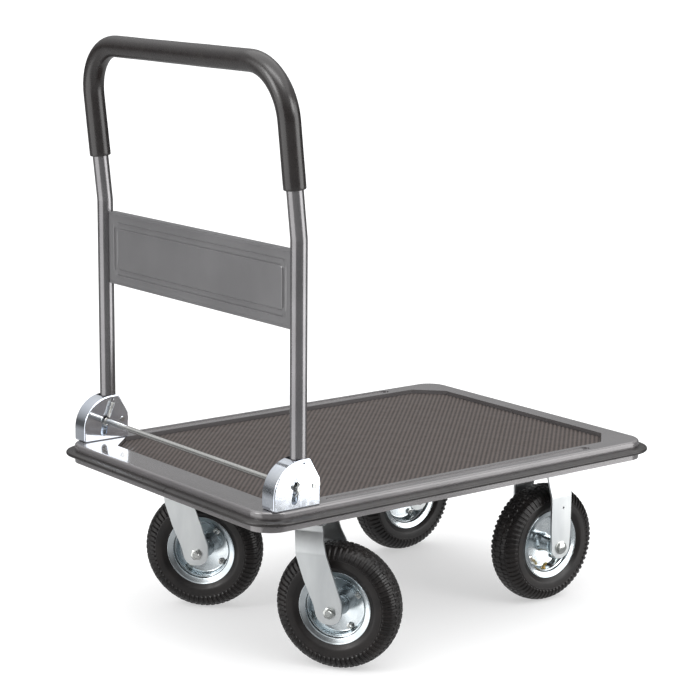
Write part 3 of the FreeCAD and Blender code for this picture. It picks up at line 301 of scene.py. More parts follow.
def make_materials():
    """Every finish by name: a dark and a light tone, then roughness and what else its kind takes."""
    made = {}
    for name, dark, light, roughness, coat, metallic in (
            ("deck_paint", (0.150, 0.143, 0.145), (0.180, 0.170, 0.173), 0.22, 0.8, 0.35),
            ("tube_paint", (0.20, 0.195, 0.20), (0.25, 0.243, 0.25), 0.24, 0.5, 0.85),
            ("panel_paint", (0.150, 0.148, 0.152), (0.170, 0.168, 0.172), 0.36, 0.25, 0.3)):
        made[name] = paint(name, dark, light, roughness, coat, metallic)
    for name, dark, light, low, high, cell_scale, brushed in (
            ("bracket_zinc", (0.72, 0.77, 0.86), (0.86, 0.90, 0.95), 0.08, 0.12, 120, (1, 1, 1)),
            ("fork_zinc", (0.54, 0.56, 0.57), (0.70, 0.72, 0.72), 0.26, 0.42, None, (1, 1, 0.3)),
            ("rim_zinc", (0.48, 0.53, 0.56), (0.74, 0.79, 0.81), 0.13, 0.24, None, (1, 1, 1)),
            ("rod_zinc", (0.50, 0.50, 0.48), (0.78, 0.78, 0.76), 0.14, 0.26, None, (1, 0.1, 1)),
            ("bolt_zinc", (0.40, 0.42, 0.41), (0.66, 0.66, 0.64), 0.12, 0.24, None, (1, 1, 1)),
            ("valve_brass", (0.60, 0.42, 0.14), (0.83, 0.62, 0.27), 0.18, 0.32, None, (1, 1, 1))):
        made[name] = plating(name, dark, light, low, high, cell_scale, brushed)
    for name, dark, light, low, high, grain, depth, specular in (
            ("tyre_rubber", (0.007, 0.006, 0.006), (0.015, 0.012, 0.011), 0.30, 0.44, 700, 0.06, 0.36),
            ("bumper_rubber", (0.012, 0.010, 0.010), (0.022, 0.019, 0.018), 0.26, 0.40, 500, 0.04, 0.5),
            ("grip_foam", (0.012, 0.009, 0.009), (0.016, 0.013, 0.012), 0.24, 0.30, 1100, 0.02, 0.7),
            ("cap_plastic", (0.012, 0.012, 0.012), (0.02, 0.02, 0.02), 0.3, 0.4, 300, 0.03, 0.5)):
        made[name] = rubber(name, dark, light, low, high, grain, depth * MM, specular)
    made["mat_rubber"] = grooved_mat()
    return made


# ---- mesh helpers --------------------------------------------------------------------------------

def make_object(name, vertices, faces, material, smooth_angle=35, place=None):
    mesh = bpy.data.meshes.new(name)
    mesh.from_pydata([tuple(v) for v in vertices], [], faces)
    mesh.validate()
    return add_mesh(name, mesh, material, smooth_angle, place)


def add_mesh(name, mesh, material, smooth_angle=35, place=None):
    if not mesh.materials:
        mesh.materials.append(material)
        mesh.polygons.foreach_set("use_smooth", [True] * len(mesh.polygons))
        mesh.set_sharp_from_angle(angle=math.radians(smooth_angle))
    if place is not None:
        mesh.transform(place)
    piece = bpy.data.objects.new(name, mesh)
    bpy.context.collection.objects.link(piece)
    return piece


def grid_faces(rows, columns, wrap_rows=False, wrap_columns=False):
    """Quads over a grid of vertices stored row by row."""
    faces = []
    for row in range(rows if wrap_rows else rows - 1):
        for column in range(columns if wrap_columns else columns - 1):
            right = (column + 1) % columns
            below = (row + 1) % rows
            faces.append((row * columns + column, row * columns + right, below * columns + right,
                          below * columns + column))
    return faces


def lathe_grid(profile, segments):
    """Vertices and faces of a (radius, along) profile turned round Y; the profile closes on itself."""
    vertices = []
    for step in range(segments):
        turn = 2 * math.pi * step / segments
        for radius, along in profile:
            vertices.append((radius * math.cos(turn) * MM, along * MM, radius * math.sin(turn) * MM))
    return vertices, grid_faces(segments, len(profile), True, True)


def rounded_profile(corners, steps, closed=True):
    """Points of an outline (x, y, radius) with its corners rounded."""
    points = []
    count = len(corners)
    for index, (x, y, radius) in enumerate(corners):
        here = Vector((x, y))
        ends = not closed and index in (0, count - 1)
        if radius == 0 or ends:
            points.append(here)
            continue
        before = (Vector(corners[index - 1][:2]) - here)
        after = (Vector(corners[(index + 1) % count][:2]) - here)
        limit = min(before.length, after.length) * 0.499
        before.normalize()
        after.normalize()
        half = before.angle(after) / 2
        reach = min(radius / math.tan(half), limit)
        bend = reach * math.tan(half)
        centre = here + (before + after).normalized() * (bend / math.sin(half))
        start = here + before * reach - centre
        sweep = (here + after * reach - centre).angle_signed(start)
        for step in range(steps + 1):
            turn = sweep * step / steps
            points.append(centre + Matrix.Rotation(turn, 2) @ start)
    return [(point.x, point.y) for point in points]


def lathe(name, corners, material, segments, steps, place, smooth_angle=35):
    """A turned piece: its outline of (radius, along, bend) corners goes round the place's Y axis."""
    vertices, faces = lathe_grid(rounded_profile(corners, steps), segments)
    return make_object(name, vertices, faces, material, smooth_angle, place)


def frames_along(points):
    """A position, side and up direction at each point of a path, without twist."""
    count = len(points)
    tangents = []
    for index in range(count):
        before = points[max(index - 1, 0)]
        after = points[min(index + 1, count - 1)]
        tangents.append((after - before).normalized())
    side = tangents[0].orthogonal().normalized()
    frames = []
    for point, tangent in zip(points, tangents):
        side = (side - tangent * side.dot(tangent)).normalized()
        frames.append((point, side, tangent.cross(side)))
    return frames


def tube(name, points, radius, material, sides, place=None, radii=None):
    """A round bar along points, capped at its ends; radii may vary from point to point."""
    vertices = []
    frames = frames_along(points)
    for index, (point, side, up) in enumerate(frames):
        reach = radii[index] if radii else radius
        for step in range(sides):
            turn = 2 * math.pi * step / sides
            vertices.append(point + (side * math.cos(turn) + up * math.sin(turn)) * reach)
    faces = grid_faces(len(frames), sides, False, True)
    faces.append(tuple(reversed(range(sides))))
    last = (len(frames) - 1) * sides
    faces.append(tuple(last + step for step in range(sides)))
    return make_object(name, vertices, faces, material, 40, place)


def hexagon_profile(turn, flats):
    """Distance from a hexagon's centre to its edge in one direction."""
    sector = math.pi / 3
    offset = (turn % sector) - sector / 2
    return flats / 2 / math.cos(offset)


def hex_piece(flats, height, bore):
    """A hexagon along +Y from the origin with turned chamfers; bore 0 makes a bolt head."""
    sides = 72
    corner = flats / math.sqrt(3)
    chamfer = flats * 0.056
    rings = [(0.0, flats / 2 - 0.3), (chamfer, corner), (height - chamfer, corner),
             (height, flats / 2 - 0.3 * flats / 10)]
    dense = []
    for (start, low), (end, high) in zip(rings, rings[1:]):
        parts = 4 if low != high else 1
        for part in range(parts):
            share = part / parts
            dense.append((start + (end - start) * share, low + (high - low) * share))
    dense.append(rings[-1])
    inner = max(bore / 2, 0.05)
    vertices = []
    columns = len(dense) + 2
    for step in range(sides):
        turn = 2 * math.pi * step / sides
        edge = hexagon_profile(turn, flats)
        line = [(0.0, inner)] + [(along, min(limit, edge)) for along, limit in dense] + [(height, inner)]
        for along, radius in line:
            vertices.append((radius * math.cos(turn) * MM, along * MM, radius * math.sin(turn) * MM))
    return vertices, grid_faces(sides, columns, True, True)


def hex_head(name, flats, height, material, place, bore=0.0):
    vertices, faces = hex_piece(flats, height, bore)
    return make_object(name, vertices, faces, material, 28, place)


def threaded_end(name, diameter, length, material, place, pitch=1.25):
    """The free end of a bolt along +Y, with its thread as fine rings and a chamfered tip."""
    radius = diameter / 2
    depth = pitch * 0.45
    corners = [(0.05, 0, 0), (radius, 0, 0)]
    along = pitch * 0.5
    while along < length - pitch:
        corners.append((radius - depth, along, 0))
        corners.append((radius, along + pitch / 2, 0))
        along += pitch
    corners += [(radius - depth, length - 0.3, 0), (radius - depth - 0.4, length, 0), (0.05, length, 0)]
    return lathe(name, corners, material, 48, 1, place, 25)


def joined(name, pieces):
    """One object from several that share a body."""
    first = pieces[0]
    with bpy.context.temp_override(active_object=first, selected_editable_objects=pieces,
                                   selected_objects=pieces, object=first):
        bpy.ops.object.join()
    first.name = name
    return first


def moved(x=0, y=0, z=0):
    return Matrix.Translation((x * MM, y * MM, z * MM))


def facing(point, direction):
    """A place whose +Y points along a direction."""
    return Matrix.Translation(point) @ direction.to_track_quat("Y", "Z").to_matrix().to_4x4()


# ---- wheels --------------------------------------------------------------------------------------

TYRE_RADIUS = 108
TYRE_HALF = 31
RIM_EDGE = 26
FLANGE_RADIUS = 63
SEAT_RADIUS = 50.8
LUGS = 66
LUG_HEIGHT = 2.2
LUG_START = 84.5
SHOULDER = 19.5
BLOCK_HEIGHT = 1.9
OUTER_GROOVE = 16.0
INNER_GROOVE = 7.0
RIM_SHEET = 1.8
RIM_BOLT = 6
RIM_BOLT_FLATS = 10
RIM_BOLT_CIRCLE = 40
AXLE = 11.8
AXLE_FLATS = 18
FORK_FACE = 52
WASHER_TOP = 53.2
HUB_END = 46.8


def wheel_place(name):
    """A wheel's own frame: axle along Y with the valve side on +Y, and the valve up Z."""
    joint = JOINTS[f"wheel_spin_{name}"]
    centre = Vector(joint["pos_m"])
    axle = Vector(joint["axis"]).normalized()
    low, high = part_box(f"valve_{name}")
    valve = (Vector(low) + Vector(high)) / 2 - centre
    if valve.dot(axle) < 0:
        axle = -axle
    upward = (valve - axle * valve.dot(axle)).normalized()
    return Matrix.Translation(centre) @ Matrix((axle.cross(upward), axle, upward)).transposed().to_4x4()


def tyre_outline():
    """Half of the tyre's outer surface, from bead to crown, as (radius, along)."""
    corners = [
        (SEAT_RADIUS + 1, RIM_EDGE - 4.5, 0), (FLANGE_RADIUS - 3, RIM_EDGE - 3.6, 3),
        (FLANGE_RADIUS + 1.2, RIM_EDGE - 0.5, 3), (FLANGE_RADIUS + 8, TYRE_HALF - 0.8, 9),
        (82, TYRE_HALF - 0.2, 10), (91, TYRE_HALF - 2.6, 10), (98.5, TYRE_HALF - 7.4, 9),
        (103.6, TYRE_HALF - 15, 12), (105.6, INNER_GROOVE, 20), (105.9, 0, 0),
    ]
    return rounded_profile(corners, 5, False)


def smooth_step(value, low, high):
    share = min(max((value - low) / (high - low), 0.0), 1.0)
    return share * share * (3 - 2 * share)


def block(phase, start, end, slope=0.07):
    """A raised stretch of one pitch, with sloping flanks."""
    return smooth_step(phase, start, start + slope) - smooth_step(phase, end - slope, end)


def tread_height(turn, radius, along):
    """Height of the tread over the carcass, in millimetres: shoulder lugs and zigzag centre blocks."""
    pitch = 2 * math.pi / LUGS
    side = 1 if along >= 0 else -1
    reach = abs(along)
    phase = (turn / pitch + (0.5 if side > 0 else 0.0)) % 1.0
    lug = block(phase, 0.08, 0.66)
    if reach > SHOULDER:
        return LUG_HEIGHT * lug * smooth_step(radius, LUG_START, LUG_START + 2)
    wave = 1.5 * (4 * abs(((turn / pitch) * 0.5 % 1.0) - 0.5) - 1)
    outer_groove = smooth_step(abs(reach - OUTER_GROOVE - 0.5 * wave), 0.5, 1.2)
    inner_groove = smooth_step(abs(reach - INNER_GROOVE - wave), 0.5, 1.2)
    if reach > OUTER_GROOVE:
        blocks = lug
    elif reach > INNER_GROOVE + wave:
        blocks = 0.25 + 0.75 * block((phase + 0.45) % 1.0, 0.05, 0.70)
    else:
        blocks = 0.45 + 0.55 * block((phase + 0.2 * side) % 1.0, 0.04, 0.80)
    parting = 0.2 * (1 - smooth_step(reach, 0.2, 0.6))
    return BLOCK_HEIGHT * min(outer_groove, inner_groove) * blocks + parting


def make_tyre_mesh():
    """A tyre skin with real tread blocks and lugs; the inside closes over the rim."""
    half = tyre_outline()
    dense = []
    for start, end in zip(half, half[1:]):
        length = math.hypot(end[0] - start[0], end[1] - start[1])
        longest = 1.0 if start[0] > LUG_START - 2.5 else 3.0
        parts = max(1, round(length / longest))
        for part in range(parts):
            share = part / parts
            dense.append((start[0] + (end[0] - start[0]) * share, start[1] + (end[1] - start[1]) * share))
    dense.append(half[-1])
    outline = dense + [(radius, -along) for radius, along in dense[-2::-1]]
    normals = []
    for index in range(len(outline)):
        before = outline[max(index - 1, 0)]
        after = outline[min(index + 1, len(outline) - 1)]
        direction = Vector((after[0] - before[0], after[1] - before[1])).normalized()
        normals.append((-direction.y, direction.x))
    inside = [(SEAT_RADIUS + 0.4, -(RIM_EDGE - 5)), (SEAT_RADIUS + 0.4, RIM_EDGE - 5)]
    steps = LUGS * 9
    mould_line = 0.4
    vertices = []
    for step in range(steps):
        turn = 2 * math.pi * step / steps
        for (radius, along), (out_r, out_a) in zip(outline, normals):
            lift = tread_height(turn, radius, along) if radius > LUG_START else 0.0
            if LUG_START - 1.9 < radius < LUG_START - 0.3:
                lift += mould_line
            reach = min(radius + out_r * lift, TYRE_RADIUS - 0.02)
            height = (along + out_a * lift) * MM
            vertices.append((reach * math.cos(turn) * MM, height, reach * math.sin(turn) * MM))
        for radius, along in inside:
            vertices.append((radius * math.cos(turn) * MM, along * MM, radius * math.sin(turn) * MM))
    mesh = bpy.data.meshes.new("tyre")
    mesh.from_pydata(vertices, [], grid_faces(steps, len(outline) + len(inside), True, True))
    return mesh


def rim_corners(side):
    """One pressed half rim: disc, barrel and rolled flange, as (radius, along)."""
    corners = [
        (17.4, 0.1, 0), (17.4, RIM_SHEET, 1), (45.5, RIM_SHEET, 3.2), (48.6, 6.5, 3), (48.9, 17.5, 2),
        (51.6, 19.2, 1.5), (52.0, RIM_EDGE - 3, 2.5), (FLANGE_RADIUS - 2.5, RIM_EDGE - 1.2, 1.5),
        (FLANGE_RADIUS - 0.3, RIM_EDGE - 0.2, 0.8), (FLANGE_RADIUS, RIM_EDGE - 1.8, 0.6),
        (FLANGE_RADIUS - 1.4, RIM_EDGE - 2.6, 0.8), (53.8, RIM_EDGE - 4.8, 2.5), (53.4, 18.2, 1.5),
        (50.7, 16.4, 2), (50.5, 6.2, 3), (46.8, 0.1, 2),
    ]
    return [(radius, side * along, bend) for radius, along, bend in corners]


def hub_corners():
    """The hub barrel with a pressed bearing cup and dust shield at each end."""
    half = [
        (6.2, HUB_END - 2.2, 0), (9.0, HUB_END - 2.2, 0.3), (9.2, HUB_END, 0.3), (12.6, HUB_END, 0.5),
        (12.9, HUB_END - 1.6, 0.3), (16.0, HUB_END - 1.8, 0.6), (17.3, HUB_END - 3.4, 0.8),
        (17.3, HUB_END - 13.5, 0.8), (15.0, HUB_END - 15.0, 0.8), (14.6, 12, 2.5), (17.3, 4.5, 2.0),
        (17.3, 2, 0.0),
    ]
    other = [(radius, -along, bend) for radius, along, bend in reversed(half)]
    return half + other


def make_valve(name, place, materials):
    """A bent brass stem with a nut at its foot and a smooth black cap."""
    seat = SEAT_RADIUS - 1
    along = 12
    neck = 4
    bend = 8
    steps = 8
    points = [Vector((0, along, seat)) * MM, Vector((0, along, seat - neck)) * MM]
    for step in range(1, steps + 1):
        turn = math.pi / 2 * step / steps
        out = along + bend * (1 - math.cos(turn))
        points.append(Vector((0, out, seat - neck - bend * math.sin(turn))) * MM)
    points.append(Vector((0, along + bend + 5.5, seat - neck - bend)) * MM)
    stem = tube(f"valve_stem_{name}", points, 2.7 * MM, materials["valve_brass"], 20, place)
    nut_at = Vector((0, along, seat - 1.2)) * MM
    nut = hex_head(f"valve_nut_{name}", 8.5, 2.2, materials["valve_brass"],
                   place @ facing(nut_at, Vector((0, 0, -1))), 5)
    end = Vector((0, along + bend + 3.0, seat - neck - bend)) * MM
    corners = [(0.05, 0, 0), (3.3, 0, 0.4), (3.7, 1.0, 0.3), (3.5, 9.0, 1.2), (2.2, 10.6, 0.8),
               (0.05, 10.8, 0)]
    cap = lathe(f"valve_cap_{name}", corners, materials["cap_plastic"], 24, 4,
                place @ facing(end, Vector((0, 1, 0))))
    return [joined(f"valve_brass_{name}", [stem, nut]), cap]


def make_rim_bolts(name, place, metal):
    """Four bolts round the rims, heads on the valve side and nuts with free ends on the other."""
    bolts = []
    for number in range(4):
        turn = math.radians(45 + 90 * number)
        spot = place @ moved(RIM_BOLT_CIRCLE * math.cos(turn), 0, RIM_BOLT_CIRCLE * math.sin(turn))
        head_at = spot @ moved(0, RIM_SHEET + 0.1)
        nut_at = spot @ Matrix.Rotation(math.pi, 4, "Z") @ moved(0, RIM_SHEET + 0.1)
        bolts.append(hex_head(f"rim_head_{name}_{number}", RIM_BOLT_FLATS, 4, metal, head_at))
        bolts.append(hex_head(f"rim_nut_{name}_{number}", RIM_BOLT_FLATS, 5, metal, nut_at, RIM_BOLT))
        bolts.append(threaded_end(f"rim_end_{name}_{number}", RIM_BOLT, 8.2, metal, nut_at, 1.0))
    return joined(f"rim_fixings_{name}", bolts)


def make_wheel(name, materials, tyre_mesh):
    place = wheel_place(name)
    body = f"wheel_{name}"
    tyre = add_mesh(f"tyre_skin_{name}", tyre_mesh.copy(), materials["tyre_rubber"], 30, place)
    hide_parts(f"tyre_{name}")
    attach(tyre, body)
    for label, side in (("nut_side", -1), ("valve_side", 1)):
        rim = lathe(f"rim_half_{label}_{name}", rim_corners(side), materials["rim_zinc"], 128, 5, place)
        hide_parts(f"rim_{label}_{name}")
        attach(rim, body)
    hub = lathe(f"hub_barrel_{name}", hub_corners(), materials["rim_zinc"], 64, 3, place)
    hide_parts(f"hub_{name}")
    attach(hub, body)
    ring = make_rim_bolts(name, place, materials["bolt_zinc"])
    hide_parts(f"rim_bolts_{name}")
    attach(ring, body)
    valve = make_valve(name, place, materials)
    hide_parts(f"valve_{name}")
    for piece in valve:
        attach(piece, body)
    return place


def make_axle(name, place, body, bolt_node, nut_node, materials):
    """An axle bolt with its head on the valve side and nut with a threaded end on the other."""
    metal = materials["bolt_zinc"]
    flip = place @ Matrix.Rotation(math.pi, 4, "Z")
    washer_corners = [(6.1, FORK_FACE, 0), (12.5, FORK_FACE, 0.3), (12.5, WASHER_TOP, 0.3),
                      (6.1, WASHER_TOP, 0)]
    washer = lathe(f"axle_washer_{name}", washer_corners, metal, 48, 2, place)
    head = hex_head(f"axle_head_{name}", AXLE_FLATS, 5.4, metal, place @ moved(0, FORK_FACE + 0.5))
    shank_corners = [(0.05, -FORK_FACE, 0), (AXLE / 2, -FORK_FACE, 0), (AXLE / 2, FORK_FACE, 0),
                     (0.05, FORK_FACE, 0)]
    shank = lathe(f"axle_shank_{name}", shank_corners, metal, 32, 1, place)
    nut = hex_head(f"axle_nut_piece_{name}", AXLE_FLATS, 4.6, metal, flip @ moved(0, FORK_FACE), AXLE)
    end = threaded_end(f"axle_end_{name}", AXLE, 6.0, metal, flip @ moved(0, FORK_FACE - 0.1), 1.5)
    bolt = joined(f"axle_bolt_piece_{name}", [head, washer, shank, end])
    for piece, node in ((bolt, bolt_node), (nut, nut_node)):
        if node:
            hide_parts(*node)
        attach(piece, body)


# ---- deck ------------------------------------------------------------------------------------------

def rectangle_path(half_x, half_y, radius, step_length):
    """Points round a rounded rectangle, with the outward direction at each."""
    route = []
    corners = [(half_x - radius, -(half_y - radius), -90), (half_x - radius, half_y - radius, 0),
               (-(half_x - radius), half_y - radius, 90), (-(half_x - radius), -(half_y - radius), 180)]
    for index, (x, y, start) in enumerate(corners):
        parts = 14
        for part in range(parts + 1):
            turn = math.radians(start + 90 * part / parts)
            out = Vector((math.cos(turn), math.sin(turn), 0))
            route.append((Vector((x, y, 0)) + out * radius, out))
        following = corners[(index + 1) % 4]
        turn = math.radians(following[2])
        out = Vector((math.cos(turn), math.sin(turn), 0))
        end = Vector((following[0], following[1], 0)) + out * radius
        begin = route[-1][0]
        count = int((end - begin).length / step_length)
        for part in range(1, count):
            route.append((begin.lerp(end, part / count), out))
    return route


def make_bumper(materials):
    """The bumper strip: a lipped base in the groove and a rounded nose, with one butt seam."""
    low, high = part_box("edge_bumper")
    tray_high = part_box("deck_tray")[1]
    reach = (high[0] - tray_high[0]) / MM
    middle = (low[2] + high[2]) / 2 / MM
    half = (high[2] - low[2]) / 2 / MM
    upper = [(-5.8, half - 0.1, 0), (0.6, half - 0.1, 0.4), (1.2, half, 0.4), (reach - 6.2, half - 0.35, 2.5),
             (reach - 1.2, half - 2.6, 2.4)]
    lower = [(away, -height, bend) for away, height, bend in reversed(upper)]
    outline = rounded_profile(upper + [(reach, 0, 3.0)] + lower, 5)
    half_x, half_y = tray_high[0] / MM, tray_high[1] / MM
    deck_corner = 40
    route = rectangle_path(half_x, half_y, deck_corner, 20)
    seam_y = -35.0
    gap = 0.5
    start = min(range(len(route)), key=lambda i: (route[i][0] - Vector((-half_x, seam_y, 0))).length)
    route = route[start:] + route[:start]
    route = [point for point in route if not (point[0].x < -half_x + 1 and abs(point[0].y - seam_y) < 12)]
    out = Vector((-1, 0, 0))
    route = [(Vector((-half_x, seam_y - gap, 0)), out)] + route + [(Vector((-half_x, seam_y + gap, 0)), out)]
    vertices = []
    for point, outward in route:
        for away, height in outline:
            spot = point + outward * away
            vertices.append((spot.x * MM, spot.y * MM, (middle + height) * MM))
    columns = len(outline)
    faces = grid_faces(len(route), columns, False, True)
    faces.append(tuple(reversed(range(columns))))
    faces.append(tuple((len(route) - 1) * columns + step for step in range(columns)))
    piece = make_object("bumper_strip", vertices, faces, materials["bumper_rubber"], 30)
    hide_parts("edge_bumper")
    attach(piece, "deck")


def make_mat(materials):
    """The anti-slip mat: ribs set on the diagonal and notched across, as real relief."""
    low, high = (Vector(corner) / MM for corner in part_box("deck_mat"))
    top = high.z
    cut = 47.7
    step = 1.55
    wave = 2 * math.pi / (7.9 * math.sqrt(2))
    columns = int((high.x - low.x) / step) + 1
    rows = int((high.y - low.y) / step) + 1
    vertices = []
    for row in range(rows):
        y = low.y + (high.y - low.y) * row / (rows - 1)
        inset = max(0.0, cut - min(y - low.y, high.y - y))
        for column in range(columns):
            x = low.x + inset + (high.x - low.x - 2 * inset) * column / (columns - 1)
            across = math.cos((x + y) * wave)
            along = math.cos((x - y) * wave)
            relief = -0.55 + 0.40 * along + 0.22 * across * (0.5 + 0.5 * along)
            at_edge = row in (0, rows - 1) or column in (0, columns - 1)
            drop = -1.2 if at_edge else max(relief, -1.05)
            vertices.append((x * MM, y * MM, (top + drop) * MM))
    faces = grid_faces(rows, columns)
    piece = make_object("mat_relief", vertices, faces, materials["mat_rubber"], 80)
    skirt = piece.modifiers.new("thickness", "SOLIDIFY")
    skirt.thickness = 0.8 * MM
    skirt.offset = -1
    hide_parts("deck_mat")
    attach(piece, "deck")


# ---- handle ----------------------------------------------------------------------------------------

LEG_Y = 288
LEG_X = -352
KINK_Z = 730
BAR_Z = 1006
LEAN = math.radians(6)
CORNER = 90
KINK_BEND = 60
TUBE = 28
TUBE_START = 352
GRIP = 37
GRIP_START = 810


def arc_points(start, corner, end, radius, steps):
    """Points of the arc that rounds a corner between two directions."""
    before = (start - corner).normalized()
    after = (end - corner).normalized()
    half = before.angle(after) / 2
    centre = corner + (before + after).normalized() * (radius / math.sin(half))
    first = corner + before * (radius / math.tan(half)) - centre
    last = corner + after * (radius / math.tan(half)) - centre
    axis = first.cross(last).normalized()
    sweep = first.angle(last)
    return [centre + Matrix.Rotation(sweep * step / steps, 3, axis) @ first for step in range(steps + 1)]


def handle_route(start_z):
    """Centreline over the bar, from the right leg at start_z to the left leg, in millimetres."""
    upward = Vector((-math.sin(LEAN), 0, math.cos(LEAN)))
    kink = Vector((LEG_X, -LEG_Y, KINK_Z))
    corner = kink + upward * ((BAR_Z - KINK_Z) / math.cos(LEAN))
    side = []
    if start_z < KINK_Z:
        base = Vector((LEG_X, -LEG_Y, start_z))
        count = 24
        first_arc = arc_points(base, kink, corner, KINK_BEND, 6)
        side += [base.lerp(first_arc[0], step / count) for step in range(count)]
        side += first_arc
    else:
        side.append(kink + upward * ((start_z - KINK_Z) / math.cos(LEAN)))
    across = Vector((corner.x, 0, corner.z))
    bend = arc_points(side[-1], corner, across, CORNER, 16)
    last = side[-1]
    side += [last.lerp(bend[0], step / 14) for step in range(1, 14)]
    side += bend
    bar_end = bend[-1]
    other_end = Vector((bar_end.x, -bar_end.y, bar_end.z))
    middle = [bar_end.lerp(other_end, step / 24) for step in range(1, 24)]
    mirrored = [Vector((point.x, -point.y, point.z)) for point in reversed(side)]
    return side + middle + mirrored


def make_handle(materials):
    points = [point * MM for point in handle_route(TUBE_START)]
    bar = tube("handle_bar", points, TUBE / 2 * MM, materials["tube_paint"], 48)
    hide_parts("handle_tube")
    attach(bar, "handle")


def make_grip(materials):
    """A foam sleeve that is slightly uneven, rolled in at its two cut ends."""
    route = handle_route(GRIP_START)
    length = [0.0]
    for start, end in zip(route, route[1:]):
        length.append(length[-1] + (end - start).length)
    radii = []
    for place in length:
        uneven = 0.12 * math.sin(place / 47) + 0.08 * math.sin(place / 19 + 1)
        radii.append((GRIP / 2 + uneven) * MM)
    points = [point * MM for point in route]
    ends = []
    for first, second in ((points[0], points[1]), (points[-1], points[-2])):
        outward = (first - second).normalized() * MM
        ends.append([(first - outward * 1.2, GRIP / 2), (first - outward * 0.4, GRIP / 2 - 0.4),
                     (first, GRIP / 2 - 1.3), (first + outward * 0.1, TUBE / 2)])
    start = [(point, radius * MM) for point, radius in reversed(ends[0])]
    finish = [(point, radius * MM) for point, radius in ends[1]]
    body = list(zip(points, radii))[1:-1]
    whole = start + body + finish
    sleeve = tube("grip_sleeve", [point for point, radius in whole], 0, materials["grip_foam"], 48,
                  radii=[radius for point, radius in whole])
    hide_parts("handle_grip")
    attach(sleeve, "handle")


def rectangle_distance(y, z, half_y, half_z, radius):
    """Signed distance to a rounded rectangle's outline, negative inside."""
    dy = abs(y) - (half_y - radius)
    dz = abs(z) - (half_z - radius)
    outside = math.hypot(max(dy, 0), max(dz, 0))
    return outside + min(max(dy, dz), 0) - radius


def sheet_piece(name, outline, near, far, middle, metal):
    """A flat or edgewise piece of sheet: an (x, level) outline drawn out along Y from near to far."""
    vertices = [(x * MM, y * MM, (middle + level) * MM) for y in (near, far) for x, level in outline]
    columns = len(outline)
    faces = grid_faces(2, columns, False, True)
    faces += [tuple(reversed(range(columns))), tuple(range(columns, 2 * columns))]
    return make_object(name, vertices, faces, metal, 30)


def make_panel(materials):
    """The pressed panel: a sunk band round its face, a hem line and flanges folded back."""
    low, high = (Vector(corner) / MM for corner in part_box("handle_panel"))
    metal = materials["panel_paint"]
    middle = (low.z + high.z) / 2
    half_y, half_z = (high.y - low.y) / 2, (high.z - low.z) / 2
    face_x = low.x
    inset, width, depth = 16, 13, 1.5
    hem_inset, hem_half, hem_depth = 4.4, 1.2, 0.7
    sheet = 1.4
    lines = set()
    for edge in (inset, inset + width):
        for offset in (-1.0, -0.5, -0.25, 0, 0.25, 0.5, 1.0):
            lines.add(round(edge + offset, 2))
    fine = sorted(lines | {2.0, 5.0, 10.0, 22.5, 31.0, 34.0, 37.0, 41.0, 46.0})
    inner = half_y - fine[-1]
    count = 40
    ys = [-half_y + 0.2] + [-half_y + value for value in fine]
    ys += [-inner + 2 * inner * step / count for step in range(1, count)]
    ys += [half_y - value for value in reversed(fine)] + [half_y - 0.2]
    hem_lines = {3.2, 3.6, 4.0, 4.4, 4.8, 5.2, 5.6}
    fine_z = sorted(lines | hem_lines | {1.0, 10.0, 22.5, 31.0, 34.0, 38.0, 45.0, 54.0})
    zs = [-half_z] + [-half_z + value for value in fine_z]
    zs += [half_z - value for value in reversed(fine_z)] + [half_z]
    vertices = []
    for z in zs:
        for y in ys:
            outer = rectangle_distance(y, z, half_y - inset, half_z - inset, 14)
            inner_edge = rectangle_distance(y, z, half_y - inset - width, half_z - inset - width, 4)
            sunk = (1 - smooth_step(outer, -0.5, 0.5)) * smooth_step(inner_edge, -0.5, 0.5)
            hem = max(0, 1 - abs(half_z - abs(z) - hem_inset) / hem_half)
            x = face_x + depth * sunk + hem_depth * hem
            vertices.append((x * MM, y * MM, (middle + z) * MM))
    face = make_object("panel_face", vertices, grid_faces(len(zs), len(ys)), metal, 50)
    thick = face.modifiers.new("thickness", "SOLIDIFY")
    thick.thickness = 1.2 * MM
    thick.offset = -1
    edges = []
    flange = 13
    for label, z, inward in (("low", -half_z, 1), ("high", half_z, -1)):
        corners = [(face_x + 0.2, z, 0), (face_x + flange, z, 0.6),
                   (face_x + flange, z + inward * sheet, 0.6), (face_x + 0.2, z + inward * sheet, 0)]
        outline = rounded_profile(corners, 4)
        reach = half_y - 0.4
        edges.append(sheet_piece(f"panel_flange_{label}", outline, -reach, reach, middle, metal))
    end_depth, end_inset = 28, 12
    corners = [(face_x + 0.3, -half_z + end_inset, 1), (face_x + end_depth, -half_z + end_inset, 5),
               (face_x + end_depth, half_z - end_inset, 5), (face_x + 0.3, half_z - end_inset, 1)]
    outline = rounded_profile(corners, 4)
    for side in (-1, 1):
        outside = side * (half_y - 0.05)
        inside = side * (half_y - 0.05 - sheet)
        edges.append(sheet_piece(f"panel_end_{side}", outline, outside, inside, middle, metal))
    rim = joined("panel_flanges", edges)
    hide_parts("handle_panel")
    for piece in (face, rim):
        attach(piece, "handle")


# ---- release gear ----------------------------------------------------------------------------------

SPRING_Y = 266
SPRING_TOP = (-353, 370.5)
PIN_Y = 309


def rod_middle():
    low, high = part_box("release_rod")
    return (Vector(low) + Vector(high)) / 2 / MM


